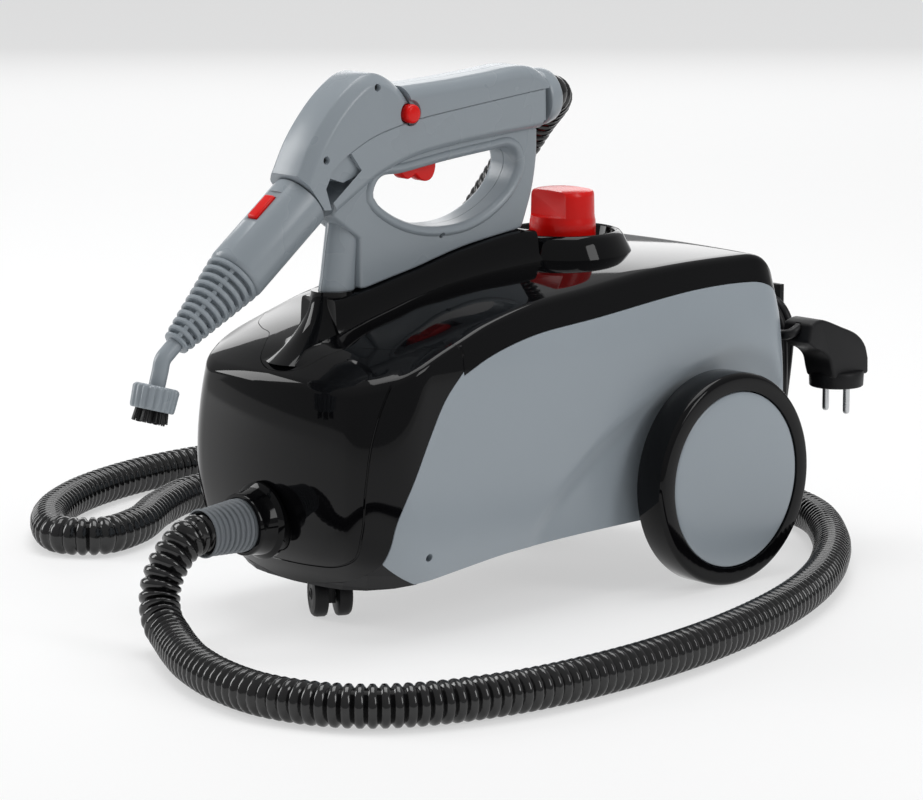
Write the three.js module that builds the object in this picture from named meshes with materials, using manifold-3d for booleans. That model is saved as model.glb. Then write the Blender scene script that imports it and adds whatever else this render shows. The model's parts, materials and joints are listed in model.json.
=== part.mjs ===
import * as THREE from 'three';
import Module from 'manifold-3d';
import { mergeVertices } from 'three/addons/utils/BufferGeometryUtils.js';

// Steam cleaner on two rear wheels and a front caster, with the steam gun parked in the carry handle.
// Millimetres. X: right side +, Y: front is -, Z: up from the floor.

const GAP = 0.4;
const WALL = 2.6;
const WHEEL_Y = 124;
const WHEEL_R = 72;
const HUB_R = 59.2;
const AXLE_R = 4;
const CASTER_Y = -129;
const CASTER_R = 15;
const CASTER_TRAIL = 6;
const CAP_Y = 85;
const HOSE_R = 13;
const CORD_R = 3.5;
const HOOK_X = 30;
const PLUG_X = 88;
// Moves the middle of the body's length, without its cord and hose, onto Y = 0.
const CENTRE_Y = 10.5;

const wasm = await Module();
wasm.setup();

// ---------- solids ----------

function toSolid(geometry) {
  const bare = geometry.clone();
  bare.deleteAttribute('normal');
  bare.deleteAttribute('uv');
  const merged = mergeVertices(bare, 1e-4);
  const pos = merged.attributes.position.array;
  const idx = [];
  let volume = 0;
  for (let i = 0; i < merged.index.count; i += 3) {
    const [a, b, c] = [0, 1, 2].map((k) => merged.index.getX(i + k));
    if (a === b || b === c || a === c) continue;
    idx.push(a, b, c);
    const p = [a, b, c].map((k) => new THREE.Vector3(pos[3 * k], pos[3 * k + 1], pos[3 * k + 2]));
    volume += p[0].dot(p[1].cross(p[2])) / 6;
  }
  if (volume < 0) {
    for (let i = 0; i < idx.length; i += 3) {
      [idx[i + 1], idx[i + 2]] = [idx[i + 2], idx[i + 1]];
    }
  }
  const mesh = new wasm.Mesh({
    numProp: 3,
    vertProperties: new Float32Array(pos),
    triVerts: new Uint32Array(idx),
  });
  return new wasm.Manifold(mesh);
}

function toGeometry(solid) {
  const mesh = solid.getMesh();
  const geometry = new THREE.BufferGeometry();
  geometry.setAttribute('position', new THREE.BufferAttribute(new Float32Array(mesh.vertProperties), 3));
  geometry.setIndex(new THREE.BufferAttribute(new Uint32Array(mesh.triVerts), 1));
  geometry.computeVertexNormals();
  return geometry;
}

// The main body, without slivers left by a cut.
const largest = (solid) => solid.decompose().sort((a, b) => b.volume() - a.volume())[0];
const join = (...list) => list.reduce((a, b) => a.add(b));
const cut = (base, ...tools) => tools.reduce((a, b) => a.subtract(b), base);

function place(geometry, x, y, z) {
  geometry.translate(x, y, z);
  return toSolid(geometry);
}

function box(x0, x1, y0, y1, z0, z1) {
  const g = new THREE.BoxGeometry(x1 - x0, y1 - y0, z1 - z0);
  return place(g, (x0 + x1) / 2, (y0 + y1) / 2, (z0 + z1) / 2);
}

function alignY(geometry, dir) {
  const q = new THREE.Quaternion();
  q.setFromUnitVectors(new THREE.Vector3(0, 1, 0), new THREE.Vector3(...dir).normalize());
  geometry.applyQuaternion(q);
  return geometry;
}

// A round bar from point a to point b.
function rod(a, b, r0, r1 = r0, sides = 20) {
  const from = new THREE.Vector3(...a);
  const to = new THREE.Vector3(...b);
  const dir = to.clone().sub(from);
  const g = new THREE.CylinderGeometry(r1, r0, dir.length(), sides);
  alignY(g, dir.toArray());
  const mid = from.add(to).multiplyScalar(0.5);
  return place(g, mid.x, mid.y, mid.z);
}

// A turned piece: profile of [radius, height along dir] from origin.
function turned(profile, origin, dir, sides = 32) {
  const g = new THREE.LatheGeometry(profile.map(([r, h]) => new THREE.Vector2(r, h)), sides);
  alignY(g, dir);
  return place(g, ...origin);
}

function shapeOf(points) {
  const s = new THREE.Shape();
  points.forEach(([u, v], i) => (i ? s.lineTo(u, v) : s.moveTo(u, v)));
  s.closePath();
  return s;
}

// Outline in (Y, Z), pushed along X.
function sideSlab(points, x0, x1) {
  const g = new THREE.ExtrudeGeometry(shapeOf(points), { depth: x1 - x0, bevelEnabled: false });
  g.applyMatrix4(new THREE.Matrix4().set(0, 0, 1, x0, 1, 0, 0, 0, 0, 1, 0, 0, 0, 0, 0, 1));
  return toSolid(g);
}

// Outline in (Y, Z), centred on X = 0, with its long edges rounded or chamfered.
function pillow(points, half, bevel, steps) {
  const g = new THREE.ExtrudeGeometry(shapeOf(points), {
    depth: 2 * (half - bevel),
    bevelEnabled: true,
    bevelSize: bevel,
    bevelThickness: bevel,
    bevelOffset: -bevel,
    bevelSegments: steps,
  });
  g.applyMatrix4(new THREE.Matrix4().set(0, 0, 1, bevel - half, 1, 0, 0, 0, 0, 1, 0, 0, 0, 0, 0, 1));
  return toSolid(g);
}

// Outline in (X, Y), pushed along Z.
function planSlab(points, z0, z1) {
  const g = new THREE.ExtrudeGeometry(shapeOf(points), { depth: z1 - z0, bevelEnabled: false });
  g.translate(0, 0, z0);
  return toSolid(g);
}

// A skin over rings with the same number of points, closed at both ends.
function loft(rings) {
  const n = rings[0].length;
  const pos = [];
  const idx = [];
  for (const ring of rings) for (const p of ring) pos.push(...p);
  for (let k = 0; k + 1 < rings.length; k += 1) {
    for (let i = 0; i < n; i += 1) {
      const a = k * n + i;
      const b = k * n + ((i + 1) % n);
      idx.push(a, b, a + n, b, b + n, a + n);
    }
  }
  for (const [k, flip] of [[0, true], [rings.length - 1, false]]) {
    const centre = rings[k].reduce((s, p) => [s[0] + p[0] / n, s[1] + p[1] / n, s[2] + p[2] / n], [0, 0, 0]);
    pos.push(...centre);
    const c = pos.length / 3 - 1;
    for (let i = 0; i < n; i += 1) {
      const a = k * n + i;
      const b = k * n + ((i + 1) % n);
      idx.push(...(flip ? [c, b, a] : [c, a, b]));
    }
  }
  const g = new THREE.BufferGeometry();
  g.setAttribute('position', new THREE.Float32BufferAttribute(pos, 3));
  g.setIndex(idx);
  return toSolid(g);
}

// Points moved outwards by d along the outline's normals.
function grow(points, d) {
  const n = points.length;
  const area = points.reduce((s, p, i) => {
    const q = points[(i + 1) % n];
    return s + p[0] * q[1] - q[0] * p[1];
  }, 0);
  const side = area > 0 ? 1 : -1;
  return points.map((p, i) => {
    const a = points[(i + n - 1) % n];
    const b = points[(i + 1) % n];
    const e1 = new THREE.Vector2(p[0] - a[0], p[1] - a[1]).normalize();
    const e2 = new THREE.Vector2(b[0] - p[0], b[1] - p[1]).normalize();
    const n1 = new THREE.Vector2(e1.y, -e1.x);
    const n2 = new THREE.Vector2(e2.y, -e2.x);
    const m = n1.clone().add(n2).normalize();
    const k = (d * side) / Math.max(0.4, m.dot(n1));
    return [p[0] + m.x * k, p[1] + m.y * k];
  });
}

// A tube along a smooth line through the given points.
function tube(points, r, sides, step) {
  const curve = new THREE.CatmullRomCurve3(points.map((p) => new THREE.Vector3(...p)), false, 'centripetal');
  const circle = new THREE.Shape();
  for (let i = 0; i < sides; i += 1) {
    const a = (2 * Math.PI * i) / sides;
    const u = r * Math.cos(a);
    const v = r * Math.sin(a);
    if (i) circle.lineTo(u, v);
    else circle.moveTo(u, v);
  }
  circle.closePath();
  const steps = Math.max(3, Math.round(curve.getLength() / step));
  return toSolid(new THREE.ExtrudeGeometry(circle, { steps, extrudePath: curve, bevelEnabled: false }));
}

// ---------- body shell ----------

// Level: height, half width, front reach, front corner radius, rear reach.
const LEVELS = [
  [18, 76, 154, 40, 192],
  [30, 84, 160, 40, 200],
  [40, 90, 167, 38, 206],
  [52, 94.5, 175, 34, 211],
  [67, 96.5, 181, 31, 214],
  [95, 98, 184.5, 30, 216],
  [130, 97.5, 183, 30, 217],
  [165, 95.5, 178, 33, 215.5],
  [180, 93.5, 173, 36, 214],
  [212, 88, 155, 44, 209],
  [232, 84, 145, 44, 205],
];
const FRONT_BOW = 16;
const REAR_CORNER = 26;
const CORNER_STEPS = 4;

function planRing([z, w, front, rf, rear], inset) {
  const ring = [];
  const hw = w - inset;
  const yf = -(front - inset);
  const yr = rear - inset;
  const r1 = rf - inset;
  const r2 = REAR_CORNER - inset;
  const bow = (x) => FRONT_BOW * (x / w) ** 2;
  const arcPoint = (cx, cy, r, a) => [cx + r * Math.cos(a), cy + r * Math.sin(a)];
  const push = (x, y, k) => ring.push([x, y + k * bow(x), z]);
  for (const x of [-0.5, 0, 0.5]) push(x * (hw - r1) * 1.35, yf, 1);
  for (let i = 0; i <= CORNER_STEPS; i += 1) {
    const [x, y] = arcPoint(hw - r1, yf + r1, r1, -Math.PI / 2 + (i * Math.PI) / 2 / CORNER_STEPS);
    push(x, y, 1);
  }
  for (const y of [-60, 40, 130]) push(hw, y, 0);
  for (let i = 0; i <= 3; i += 1) {
    const [x, y] = arcPoint(hw - r2, yr - r2, r2, (i * Math.PI) / 6);
    push(x, y, 0);
  }
  push(0, yr + 2, 0);
  for (let i = 3; i >= 0; i -= 1) {
    const [x, y] = arcPoint(hw - r2, yr - r2, r2, (i * Math.PI) / 6);
    push(-x, y, 0);
  }
  for (const y of [130, 40, -60]) push(-hw, y, 0);
  for (let i = CORNER_STEPS; i >= 0; i -= 1) {
    const [x, y] = arcPoint(hw - r1, yf + r1, r1, -Math.PI / 2 + (i * Math.PI) / 2 / CORNER_STEPS);
    push(-x, y, 1);
  }
  return ring;
}

// Deck line: Y, height at the side edge, height on the centre line.
const DECK = [
  [-205, 140, 146], [-184, 150, 159], [-172, 156, 167], [-156, 165, 179], [-138, 173, 187],
  [-120, 180, 193], [-96, 188, 199], [-70, 196, 205], [-28, 204, 212],
  [20, 208, 216.5], [89, 214, 218.5], [176, 214.5, 216.5],
  [189, 212, 213.5], [200, 204.5, 206], [210, 192, 193], [222, 168, 169], [236, 140, 141],
];

function underDeck(drop) {
  const xs = [-112, -88, -66, -36, 0, 36, 66, 88, 112];
  const height = (x, [, edge, mid]) => {
    const k = Math.min(1, (x / 88) ** 2);
    return edge + (mid - edge) * (1 - k) - drop;
  };
  const rings = DECK.map((row) => {
    const ring = xs.map((x) => [x, row[0], height(x, row)]);
    ring.push([112, row[0], 0], [-112, row[0], 0]);
    return ring;
  });
  return loft(rings);
}

const BOTTOM = [[-210, 25], [-166, 25], [-140, 29], [-100, 37], [-48, 44], [58, 47], [240, 47]];

function bodyForm(inset) {
  const stack = loft(LEVELS.map((level) => planRing(level, inset)));
  const line = BOTTOM.map(([y, z]) => [y, z + inset]);
  const above = sideSlab([...line, [240, 260], [-210, 260]], -120, 120);
  return stack.intersect(underDeck(inset)).intersect(above);
}

const ARCH = [
  [-52, 20], [-46, 46], [-28, 66], [4, 92], [42, 117], [98, 140], [126, 151],
  [154, 157], [184, 149], [203, 134], [214, 112], [216, 20],
];

function archRecess(side, depthX, extra) {
  const inner = grow(ARCH, extra);
  const outer = grow(ARCH, extra + 6);
  const ringAt = (pts, x) => pts.map(([y, z]) => [side * x, y, z]);
  return loft([ringAt(inner, depthX), ringAt(outer, depthX + 8), ringAt(outer, depthX + 24)]);
}

const bodyOuter = cut(bodyForm(0), archRecess(1, 91.5, 0), archRecess(-1, 91.5, 0));
const bodyInner = cut(
  bodyForm(WALL),
  archRecess(1, 91.5 - WALL, WALL),
  archRecess(-1, 91.5 - WALL, WALL),
);
const shell = bodyOuter.subtract(bodyInner);

// Front edge of the top cover, seen from above.
const NOSE_SEAM = [
  [99, -90], [94, -97], [85, -110], [75, -122], [56, -135], [40, -143], [31, -154], [22, -166], [10, -172],
];
const noseLine = [...NOSE_SEAM, [0, -173], ...NOSE_SEAM.map(([x, y]) => [-x, y]).reverse()];

function topRegion(extra) {
  const band = [[-97, 166], [-74, 175], [-34, 184], [26, 189], [120, 197], [169, 197], [186, 195]];
  band.push([203, 187], [212, 176], [240, 176]);
  const low = band.map(([y, z]) => [y - (y < -90 ? extra : 0), z - extra]);
  const behind = sideSlab([...low, [240, 260], [-97 - extra, 260]], -120, 120);
  const seam = noseLine.map(([x, y]) => [x, y - extra]);
  const ahead = planSlab([...seam, [-110, -90], [-110, -70], [110, -70], [110, -90]], 158 - extra, 260);
  return join(behind, ahead);
}

const FRONT_EDGE = [
  [-96, 170], [-115, 152], [-128, 132], [-142, 106], [-150, 89], [-154, 76], [-155, 60], [-155, 46],
  [-158, 30], [-160, 10],
];

function frontRegion(extra) {
  const edge = FRONT_EDGE.map(([y, z]) => [y + extra, z]);
  return sideSlab([...edge, [-230, 10], [-230, 200], [-110 + extra, 200], [-96 + extra, 176]], -120, 120);
}

const rearRegion = (extra) => box(-84 - extra, 84 + extra, 200 - extra, 240, 10, 260);
const pan = (extra) => box(-80 - extra, 80 + extra, -190, 210, 10, 56 + extra);

const topShell = shell.intersect(topRegion(0));
const belowTop = shell.subtract(topRegion(GAP));
const frontShell = belowTop.intersect(frontRegion(0));
const behindFront = belowTop.subtract(frontRegion(GAP));
const rearShell = behindFront.intersect(rearRegion(0));
const middle = behindFront.subtract(rearRegion(GAP));
const panShell = middle.intersect(pan(0));
const sides = middle.subtract(pan(GAP));

// ---------- group ----------

const group = new THREE.Group();
group.name = 'steam_cleaner';

const material = (color, roughness, metalness = 0) =>
  new THREE.MeshStandardMaterial({ color, roughness, metalness });
const GREY = material(0x949da4, 0.5);
const DARK_GREY = material(0x6d747a, 0.55);
const BLACK_GLOSS = material(0x121213, 0.15);
const BLACK_MATTE = material(0x202124, 0.6);
const RED = material(0xd8251b, 0.35);
const BRISTLE = material(0x0c0c0d, 0.85);
const STEEL = material(0xb7babd, 0.35, 1);
const ALLOY = material(0xc5c8ca, 0.45, 1);
const BRASS = material(0xb8923f, 0.35, 1);
const HOSE = material(0x161719, 0.3);
const CORD = material(0x151517, 0.5);
const RUBBER = material(0x2a2b2d, 0.8);
const BOARD = material(0xd9d4c6, 0.6);

function add(name, solid, mat) {
  const mesh = new THREE.Mesh(toGeometry(solid.translate([0, CENTRE_Y, 0])), mat);
  mesh.name = name;
  group.add(mesh);
}

// ---------- handle and gun outlines, (Y, Z) ----------

const SEAM = [
  [-146, 281], [-143, 289], [-134, 297], [-119, 305.5], [-103, 312], [-79, 317.5], [-63, 320],
  [-20, 324.5], [49, 331],
];
const CREASE = [[48, 305], [-24, 300], [-65, 295], [-87, 289], [-100, 284], [-134, 265]];
const WEB = [
  [-134, 262], [-134, 265], [-100, 284], [-87, 289], [-65, 295], [-24, 300], [48, 305], [47, 285],
  [43, 268], [34, 238.5], [-21, 231], [-63, 221.5], [-76, 219], [-106, 213], [-111, 213], [-111, 246],
];
const FINGER = [
  [-99, 272], [-97, 280], [-91, 284.5], [-75, 285], [-36, 289.5], [4, 293], [21, 294], [27, 290.5],
  [29, 282], [22, 269], [4, 256], [-21, 248], [-57, 249.5], [-85, 260],
];

// ---------- top cover ----------

const RIDGE = [
  [-136, 212.5], [-106, 212.5], [-76, 218.5], [-63, 221], [-21, 230.5], [34, 238], [50, 236],
  [64, 233], [64, 205], [-96, 190], [-150, 176], [-146, 206],
];
const PEDESTAL_LEVELS = [[174, -132, 31, 27], [184, -129, 25, 22], [196, -127, 21, 17], [212.5, -125, 19, 14]];

function pedestal() {
  const rings = PEDESTAL_LEVELS.map(([z, y, ry, rx]) => {
    const ring = [];
    for (let i = 0; i < 16; i += 1) {
      const a = (2 * Math.PI * i) / 16;
      ring.push([rx * Math.cos(a), y + ry * Math.sin(a), z]);
    }
    return ring;
  });
  return loft(rings);
}

const wellRing = turned(
  [[0, 198], [54, 198], [46, 222], [41, 229], [39, 232], [36.5, 232], [34, 226], [32, 216], [0, 216]],
  [0, CAP_Y, 0],
  [0, 0, 1],
  32,
);
const ridge = pillow(RIDGE, 17, 4, 2);
const topParts = join(topShell, pedestal(), ridge, wellRing);
const wellBore = rod([0, CAP_Y, 216], [0, CAP_Y, 240], 32, 36.5, 32);
const neckHole = rod([0, CAP_Y, 180], [0, CAP_Y, 240], 18.4, 18.4, 24);
const coverBottom = cut(bodyInner, rod([0, CAP_Y, 196], [0, CAP_Y, 240], 60, 60, 24));
add('top_cover', cut(topParts, coverBottom, wellBore, neckHole), BLACK_GLOSS);

// ---------- front panel with outlet ----------

const OUTLET = [0, -169, 71];
const OUTLET_DIR = [0, -1, -0.03];
const outletSeat = rod([0, -150, 71.5], [0, -200, 70], 22, 22, 24);
add('front_panel', frontShell.subtract(outletSeat), BLACK_GLOSS);
const collarProfile = [
  [14.4, 0], [21.5, 0], [21.5, 16], [25, 16], [25, 19.5], [22, 21.5], [20, 32.5], [20.4, 34.6],
  [17.6, 34.6], [17.6, 22], [14.4, 20], [14.4, 0],
];
add('outlet_collar', turned(collarProfile, OUTLET, OUTLET_DIR, 20), BLACK_GLOSS);

const bootProfile = [[9, 22.6], [17.2, 22.6], [17.2, 35.4]];
for (let i = 0; i < 6; i += 1) {
  const h = 36.4 + i * 4.7;
  const r = 17 - i * 0.35;
  bootProfile.push([r, h], [r, h + 2.4], [r - 1.4, h + 3.2]);
}
bootProfile.push([15.9, 63.8], [15.9, 67], [14.6, 67], [14.6, 50], [9, 48], [9, 22.6]);
add('hose_boot', turned(bootProfile, OUTLET, OUTLET_DIR, 16), DARK_GREY);

// ---------- sides, rear, base ----------

const axleHole = rod([-115, WHEEL_Y, WHEEL_R], [115, WHEEL_Y, WHEEL_R], 8, 8, 20);
const screwHole = rod([70, -127, 52], [115, -127, 52], 3, 3, 12);
const rightSide = cut(sides.intersect(box(0.2, 120, -240, 240, 0, 260)), axleHole, screwHole);
const leftScrewHole = rod([-70, -127, 52], [-115, -127, 52], 3, 3, 12);
const leftSide = cut(sides.intersect(box(-120, -0.2, -240, 240, 0, 260)), axleHole, leftScrewHole);
add('side_panel_right', largest(rightSide), GREY);
add('side_panel_left', largest(leftSide), GREY);

const bosses = [-70, 70].map((x) => {
  const block = box(x - 8, x + 8, WHEEL_Y - 12, WHEEL_Y + 12, 47.5, WHEEL_R + 10);
  return block.subtract(rod([x - 9, WHEEL_Y, WHEEL_R], [x + 9, WHEEL_Y, WHEEL_R], AXLE_R + 0.3, AXLE_R + 0.3, 18));
});
const wellDisc = rod([0, CASTER_Y, 20], [0, CASTER_Y, 36.5], 28.5, 28.5, 24).intersect(bodyOuter);
const casterBoss = rod([0, CASTER_Y, 34], [0, CASTER_Y, 62], 10, 10, 16);
const casterBore = rod([0, CASTER_Y, 20], [0, CASTER_Y, 58], 5.4, 5.4, 16);
const casterWell = rod([0, CASTER_Y, 10], [0, CASTER_Y, 33.9], 25.6, 25.6, 24);
const wellFront = box(-40, 40, -170, -154.4, 10, 60);
const panBody = join(panShell, ...bosses, wellDisc.subtract(wellFront), casterBoss);
add('base_pan', cut(panBody, casterBore, casterWell), BLACK_MATTE);

const HOOK_Z = [149, 89];
const hookBoss = (z) => rod([HOOK_X, 215, z], [HOOK_X, 223, z], 14, 13, 24);
const glandHole = rod([-40, 190, 66], [-40, 240, 66], 5.6, 5.6, 20);
const switchHole = box(-52.5, -27.5, 190, 240, 142.5, 159.5);
add('rear_panel', cut(join(rearShell, ...HOOK_Z.map(hookBoss)), glandHole, switchHole), BLACK_MATTE);

for (const [name, z, s] of [['cord_hook_upper', HOOK_Z[0], 1], ['cord_hook_lower', HOOK_Z[1], -1]]) {
  const peg = rod([HOOK_X, 223.4, z], [HOOK_X, 266, z], 10.5, 9.5, 24);
  const lipTop = z + s * 30;
  const lip = box(HOOK_X - 8, HOOK_X + 8, 263, 267, Math.min(z, lipTop), Math.max(z, lipTop));
  add(name, join(peg, lip), BLACK_MATTE);
}

add(
  'strain_relief',
  turned(
    [[4.2, -10], [5.3, -10], [5.3, 3.4], [8, 3.4], [8, 6], [6.2, 8], [5.4, 20], [4.2, 20], [4.2, -10]],
    [-40, 215, 66],
    [0, 1, 0],
    14,
  ),
  RUBBER,
);
const switchBody = join(box(-52, -28, 206, 219, 143, 159), box(-55, -25, 218.6, 220.2, 140, 162));
add('rocker_switch', switchBody.subtract(box(-49.6, -30.4, 211, 222, 144.4, 157.6)), BLACK_MATTE);
const rockerTilt = sideSlab([[220.6, 145], [220.6, 157], [224, 157], [222, 151], [221.2, 145]], -49, -31);
add('rocker_key', rockerTilt, RED);

// ---------- handle halves ----------

const trough = pillow([...SEAM, ...CREASE], 19, 3, 1);
const troughTop = pillow([...SEAM.map(([y, z]) => [y, z - 3]), ...CREASE], 19, 0.01, 1);
const web = pillow(WEB, 13, 2, 1);
const postRings = [[212.9, -120, 14, 9.5], [232, -117, 13.5, 9.5], [256, -113, 13.5, 10], [262, -112, 12, 10]];
const post = loft(postRings.map(([z, y, ry, rx]) => {
  const ring = [];
  for (let i = 0; i < 20; i += 1) {
    const a = (2 * Math.PI * i) / 20;
    ring.push([rx * Math.cos(a), y + ry * Math.sin(a), z]);
  }
  return ring;
}));
const cradleLine = SEAM.map(([y, z]) => [y, z + 12]);
const cradleFloor = [[52, 309], [-24, 304.5], [-65, 299.5], [-87, 293.5], [-103, 288], [-150, 262]];
const cradleRoom = sideSlab([...cradleLine, ...cradleFloor], -16, 16);
const fingerHole = sideSlab(FINGER, -30, 30);
const fingerFlare = [1, -1].map((s) => {
  const at = (pts, x) => pts.map(([y, z]) => [s * x, y, z]);
  return loft([at(FINGER, 9), at(grow(FINGER, 5), 14), at(grow(FINGER, 5), 30)]);
});
const triggerSlot = box(-6, 6, -81, -26, 270, 312);
const buttonNotch = rod([-30, -72, 324], [30, -72, 324], 8, 8, 24);
const nozzleRoom = rod([0, -120, 297.5], [0, -215, 224], 20.6, 20.6, 28);
const seamAbove = sideSlab([...SEAM.map(([y, z]) => [y, z]), [80, 332], [80, 400], [-200, 400], [-200, 281]], -40, 40);
const handleBody = cut(
  join(trough, troughTop, web, post),
  seamAbove,
  cradleRoom,
  fingerHole,
  ...fingerFlare,
  triggerSlot,
  buttonNotch,
  nozzleRoom,
  ridge,
);
add('handle_half_right', handleBody.intersect(box(GAP / 2, 60, -300, 200, 100, 400)), GREY);
add('handle_half_left', handleBody.intersect(box(-60, -GAP / 2, -300, 200, 100, 400)), GREY);

// ---------- steam gun ----------

const gunUpper = pillow(
  [[-90, 300], [-84, 341], [-38, 342.5], [-2, 345], [34, 347.5], [43, 346], [49, 342.5], [54, 334], [54, 300]],
  18.5,
  9,
  4,
);
const aboveSeam = sideSlab(
  [...SEAM.map(([y, z]) => [y, z + GAP]), [80, 333], [80, 400], [-200, 400], [-200, 281]],
  -40,
  40,
);
const gunLower = pillow(
  [[-98, 318], [-60, 323], [-20, 328], [51, 334], [51, 309.5], [-24, 305], [-65, 300], [-87, 294.2], [-98, 291]],
  15.5,
  4,
  2,
);
const gunBore = rod([0, -92, 314], [0, 60, 323], 7.5, 7.5, 20);
const hump = pillow(
  [
    [-172, 277], [-164, 291], [-153, 311], [-138, 329.5], [-124, 342.5], [-109, 352], [-93, 350.5],
    [-85, 347], [-76, 339], [-66, 328], [-60, 240], [-172, 240],
  ],
  19,
  7,
  1,
);
const capKeep = sideSlab(
  [
    [-163.5, 290], [-146.5, 268.2], [-141, 268], [-145.6, 281.4], ...SEAM.slice(1, 7).map(([y, z]) => [y, z + GAP]),
    [-60, 400], [-200, 400],
  ],
  -40,
  40,
);
const capBody = hump.intersect(capKeep);
const buttonSeat = rod([-30, -72, 324], [30, -72, 324], 6.6, 6.6, 24);
const buttonDish = rod([16, -72, 324], [30, -72, 324], 8.4, 8.4, 24);
const collarSeat = rod([0, 37, 321.7], [0, 68, 324.8], 12.4, 12.4, 20);
const triggerRoom = box(-5.4, 5.4, -84, -28, 285, 318);
const barrelAxis = new THREE.Vector3(0, -62, -48).normalize();
const barrelTop = new THREE.Vector3(0, -145, 278);
const onBarrel = (d) => [0, barrelTop.y + barrelAxis.y * d, barrelTop.z + barrelAxis.z * d];
const barrelDir = barrelAxis.toArray();
const barrelClear = rod(onBarrel(7.8), onBarrel(90), 20.1, 20.1, 24);
const nipple = rod(onBarrel(-34), onBarrel(30), 8, 8, 20);
const nippleBore = rod(onBarrel(-50), onBarrel(36), 4.2, 4.2, 16);

const gunSolid = cut(
  join(gunUpper.intersect(aboveSeam), gunLower),
  gunBore,
  buttonSeat,
  buttonDish,
  collarSeat,
  triggerRoom,
);
const behindCap = sideSlab([[-70.6, 280], [-70.6, 331], [-76, 344], [-76, 400], [100, 400], [100, 280]], -40, 40);
const gunBack = gunSolid.intersect(behindCap);
add('gun_shell_right', gunBack.intersect(box(GAP / 2, 60, -300, 200, 100, 400)), GREY);
add('gun_shell_left', gunBack.intersect(box(-60, -GAP / 2, -300, 200, 100, 400)), GREY);

const aheadOfShell = sideSlab([[-71, 280], [-71, 331], [-76.4, 344], [-76.4, 400], [-300, 400], [-300, 200], [-71, 200]], -40, 40);
const capLower = sideSlab([[-72, 322], [-103, 316], [-134, 302], [-140, 288], [-128, 284], [-104, 291], [-72, 300]], -15.5, 15.5);
const screwWells = [[-101, 343], [-145, 300]].map(([y, z]) => rod([10, y, z], [30, y, z], 2.4, 2.4, 12));
add(
  'gun_front_cap',
  largest(cut(
    join(join(capBody, capLower).intersect(aheadOfShell), nipple),
    barrelClear.subtract(nipple),
    nippleBore,
    buttonDish,
    buttonSeat,
    triggerRoom,
    ...screwWells,
  )),
  GREY,
);

add('gun_steam_tube', rod(onBarrel(-30), onBarrel(-49), 3.6, 3.6, 14), BRASS);

// ---------- gun hose collar ----------

add(
  'gun_hose_collar',
  turned(
    [[9, -8], [12, -8], [12, 7], [19, 7.5], [19.5, 10], [18.5, 18], [15.2, 19], [15.2, 11], [9, 10], [9, -8]],
    [0, 48.4, 322.8],
    [0, 1, 0.1],
    20,
  ),
  GREY,
);

// ---------- trigger and buttons ----------

const triggerOutline = [
  [-74, 312], [-68, 312], [-62, 302], [-40, 300], [-37, 290], [-38, 282], [-42, 277], [-48, 276.5],
  [-52, 280], [-55, 280.5], [-60, 279], [-65, 281], [-70, 290], [-76, 302],
];
const triggerPinHole = rod([-10, -70, 307], [10, -70, 307], 1.8, 1.8, 16);
add('trigger', pillow(triggerOutline, 5, 1.2, 1).subtract(triggerPinHole), RED);
const TRIGGER_PIN = [-70, 307];
add('trigger_pin', rod([-5.2, ...TRIGGER_PIN], [5.2, ...TRIGGER_PIN], 1.4, 1.4, 12), STEEL);
add('trigger_switch', box(-4.6, 4.6, -58, -42, 308.4, 316.4), BLACK_MATTE);
add('lock_button', turned([[0, -17], [5, -17], [5, 14], [6.2, 14], [6.2, 21], [5, 22.5], [0, 22.5]], [0, -72, 324], [1, 0, 0], 18), RED);

// ---------- nozzle ----------

const barrelShape = turned(
  [[8.5, 8.2], [19.5, 8.2], [19.5, 76], [17, 79], [8.5, 79], [8.5, 8.2]],
  onBarrel(0),
  barrelDir,
  32,
);

const barrelUp = new THREE.Vector3(0, barrelAxis.z, -barrelAxis.y);
function onNozzle(geometry, d, lift) {
  const m = new THREE.Matrix4().makeBasis(new THREE.Vector3(1, 0, 0), barrelAxis.clone().negate(), barrelUp);
  const at = new THREE.Vector3(...onBarrel(d)).addScaledVector(barrelUp, lift);
  geometry.applyMatrix4(m.setPosition(at));
  return toSolid(geometry);
}

const RELEASE_D = 34;
const releasePocket = onNozzle(new THREE.BoxGeometry(9.4, 20.9, 14), RELEASE_D, 18.8);
add('nozzle_barrel', barrelShape.subtract(releasePocket), GREY);
add('nozzle_release_button', onNozzle(new THREE.BoxGeometry(8.6, 20, 6), RELEASE_D, 17.6), RED);

const CAGE_FROM = 79.4;
const CAGE_TO = 137;
const CAGE_RINGS = 10;
const cageRadius = (d) => 18.8 + ((d - CAGE_FROM) / (CAGE_TO - CAGE_FROM)) * (9 - 18.8);
const cageProfile = [[3.6, CAGE_FROM]];
for (let i = 0; i < CAGE_RINGS; i += 1) {
  const d = CAGE_FROM + (i * (CAGE_TO - CAGE_FROM)) / CAGE_RINGS;
  const r = cageRadius(d);
  const core = Math.max(5.4, r - 5);
  cageProfile.push([r, d], [r, d + 3], [core, d + 3], [core, d + 5.75]);
}
cageProfile.push([8.8, CAGE_TO - 0.1], [8.8, CAGE_TO + 2], [3.6, CAGE_TO + 2], [3.6, CAGE_FROM]);
add('nozzle_cage', turned(cageProfile, onBarrel(0), barrelDir, 12), GREY);

const tipDir = new THREE.Vector3(0, -0.3, -1).normalize();
const ringTop = new THREE.Vector3(0, -270.3, 168.2);
const onTip = (h) => ringTop.clone().addScaledVector(tipDir, h).toArray();
add('nozzle_tip_tube', tube([onBarrel(CAGE_TO + 2.4), [0, -261.5, 187.5], [0, -266.6, 179], onTip(8.4)], 5.3, 14, 5), GREY);

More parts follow.
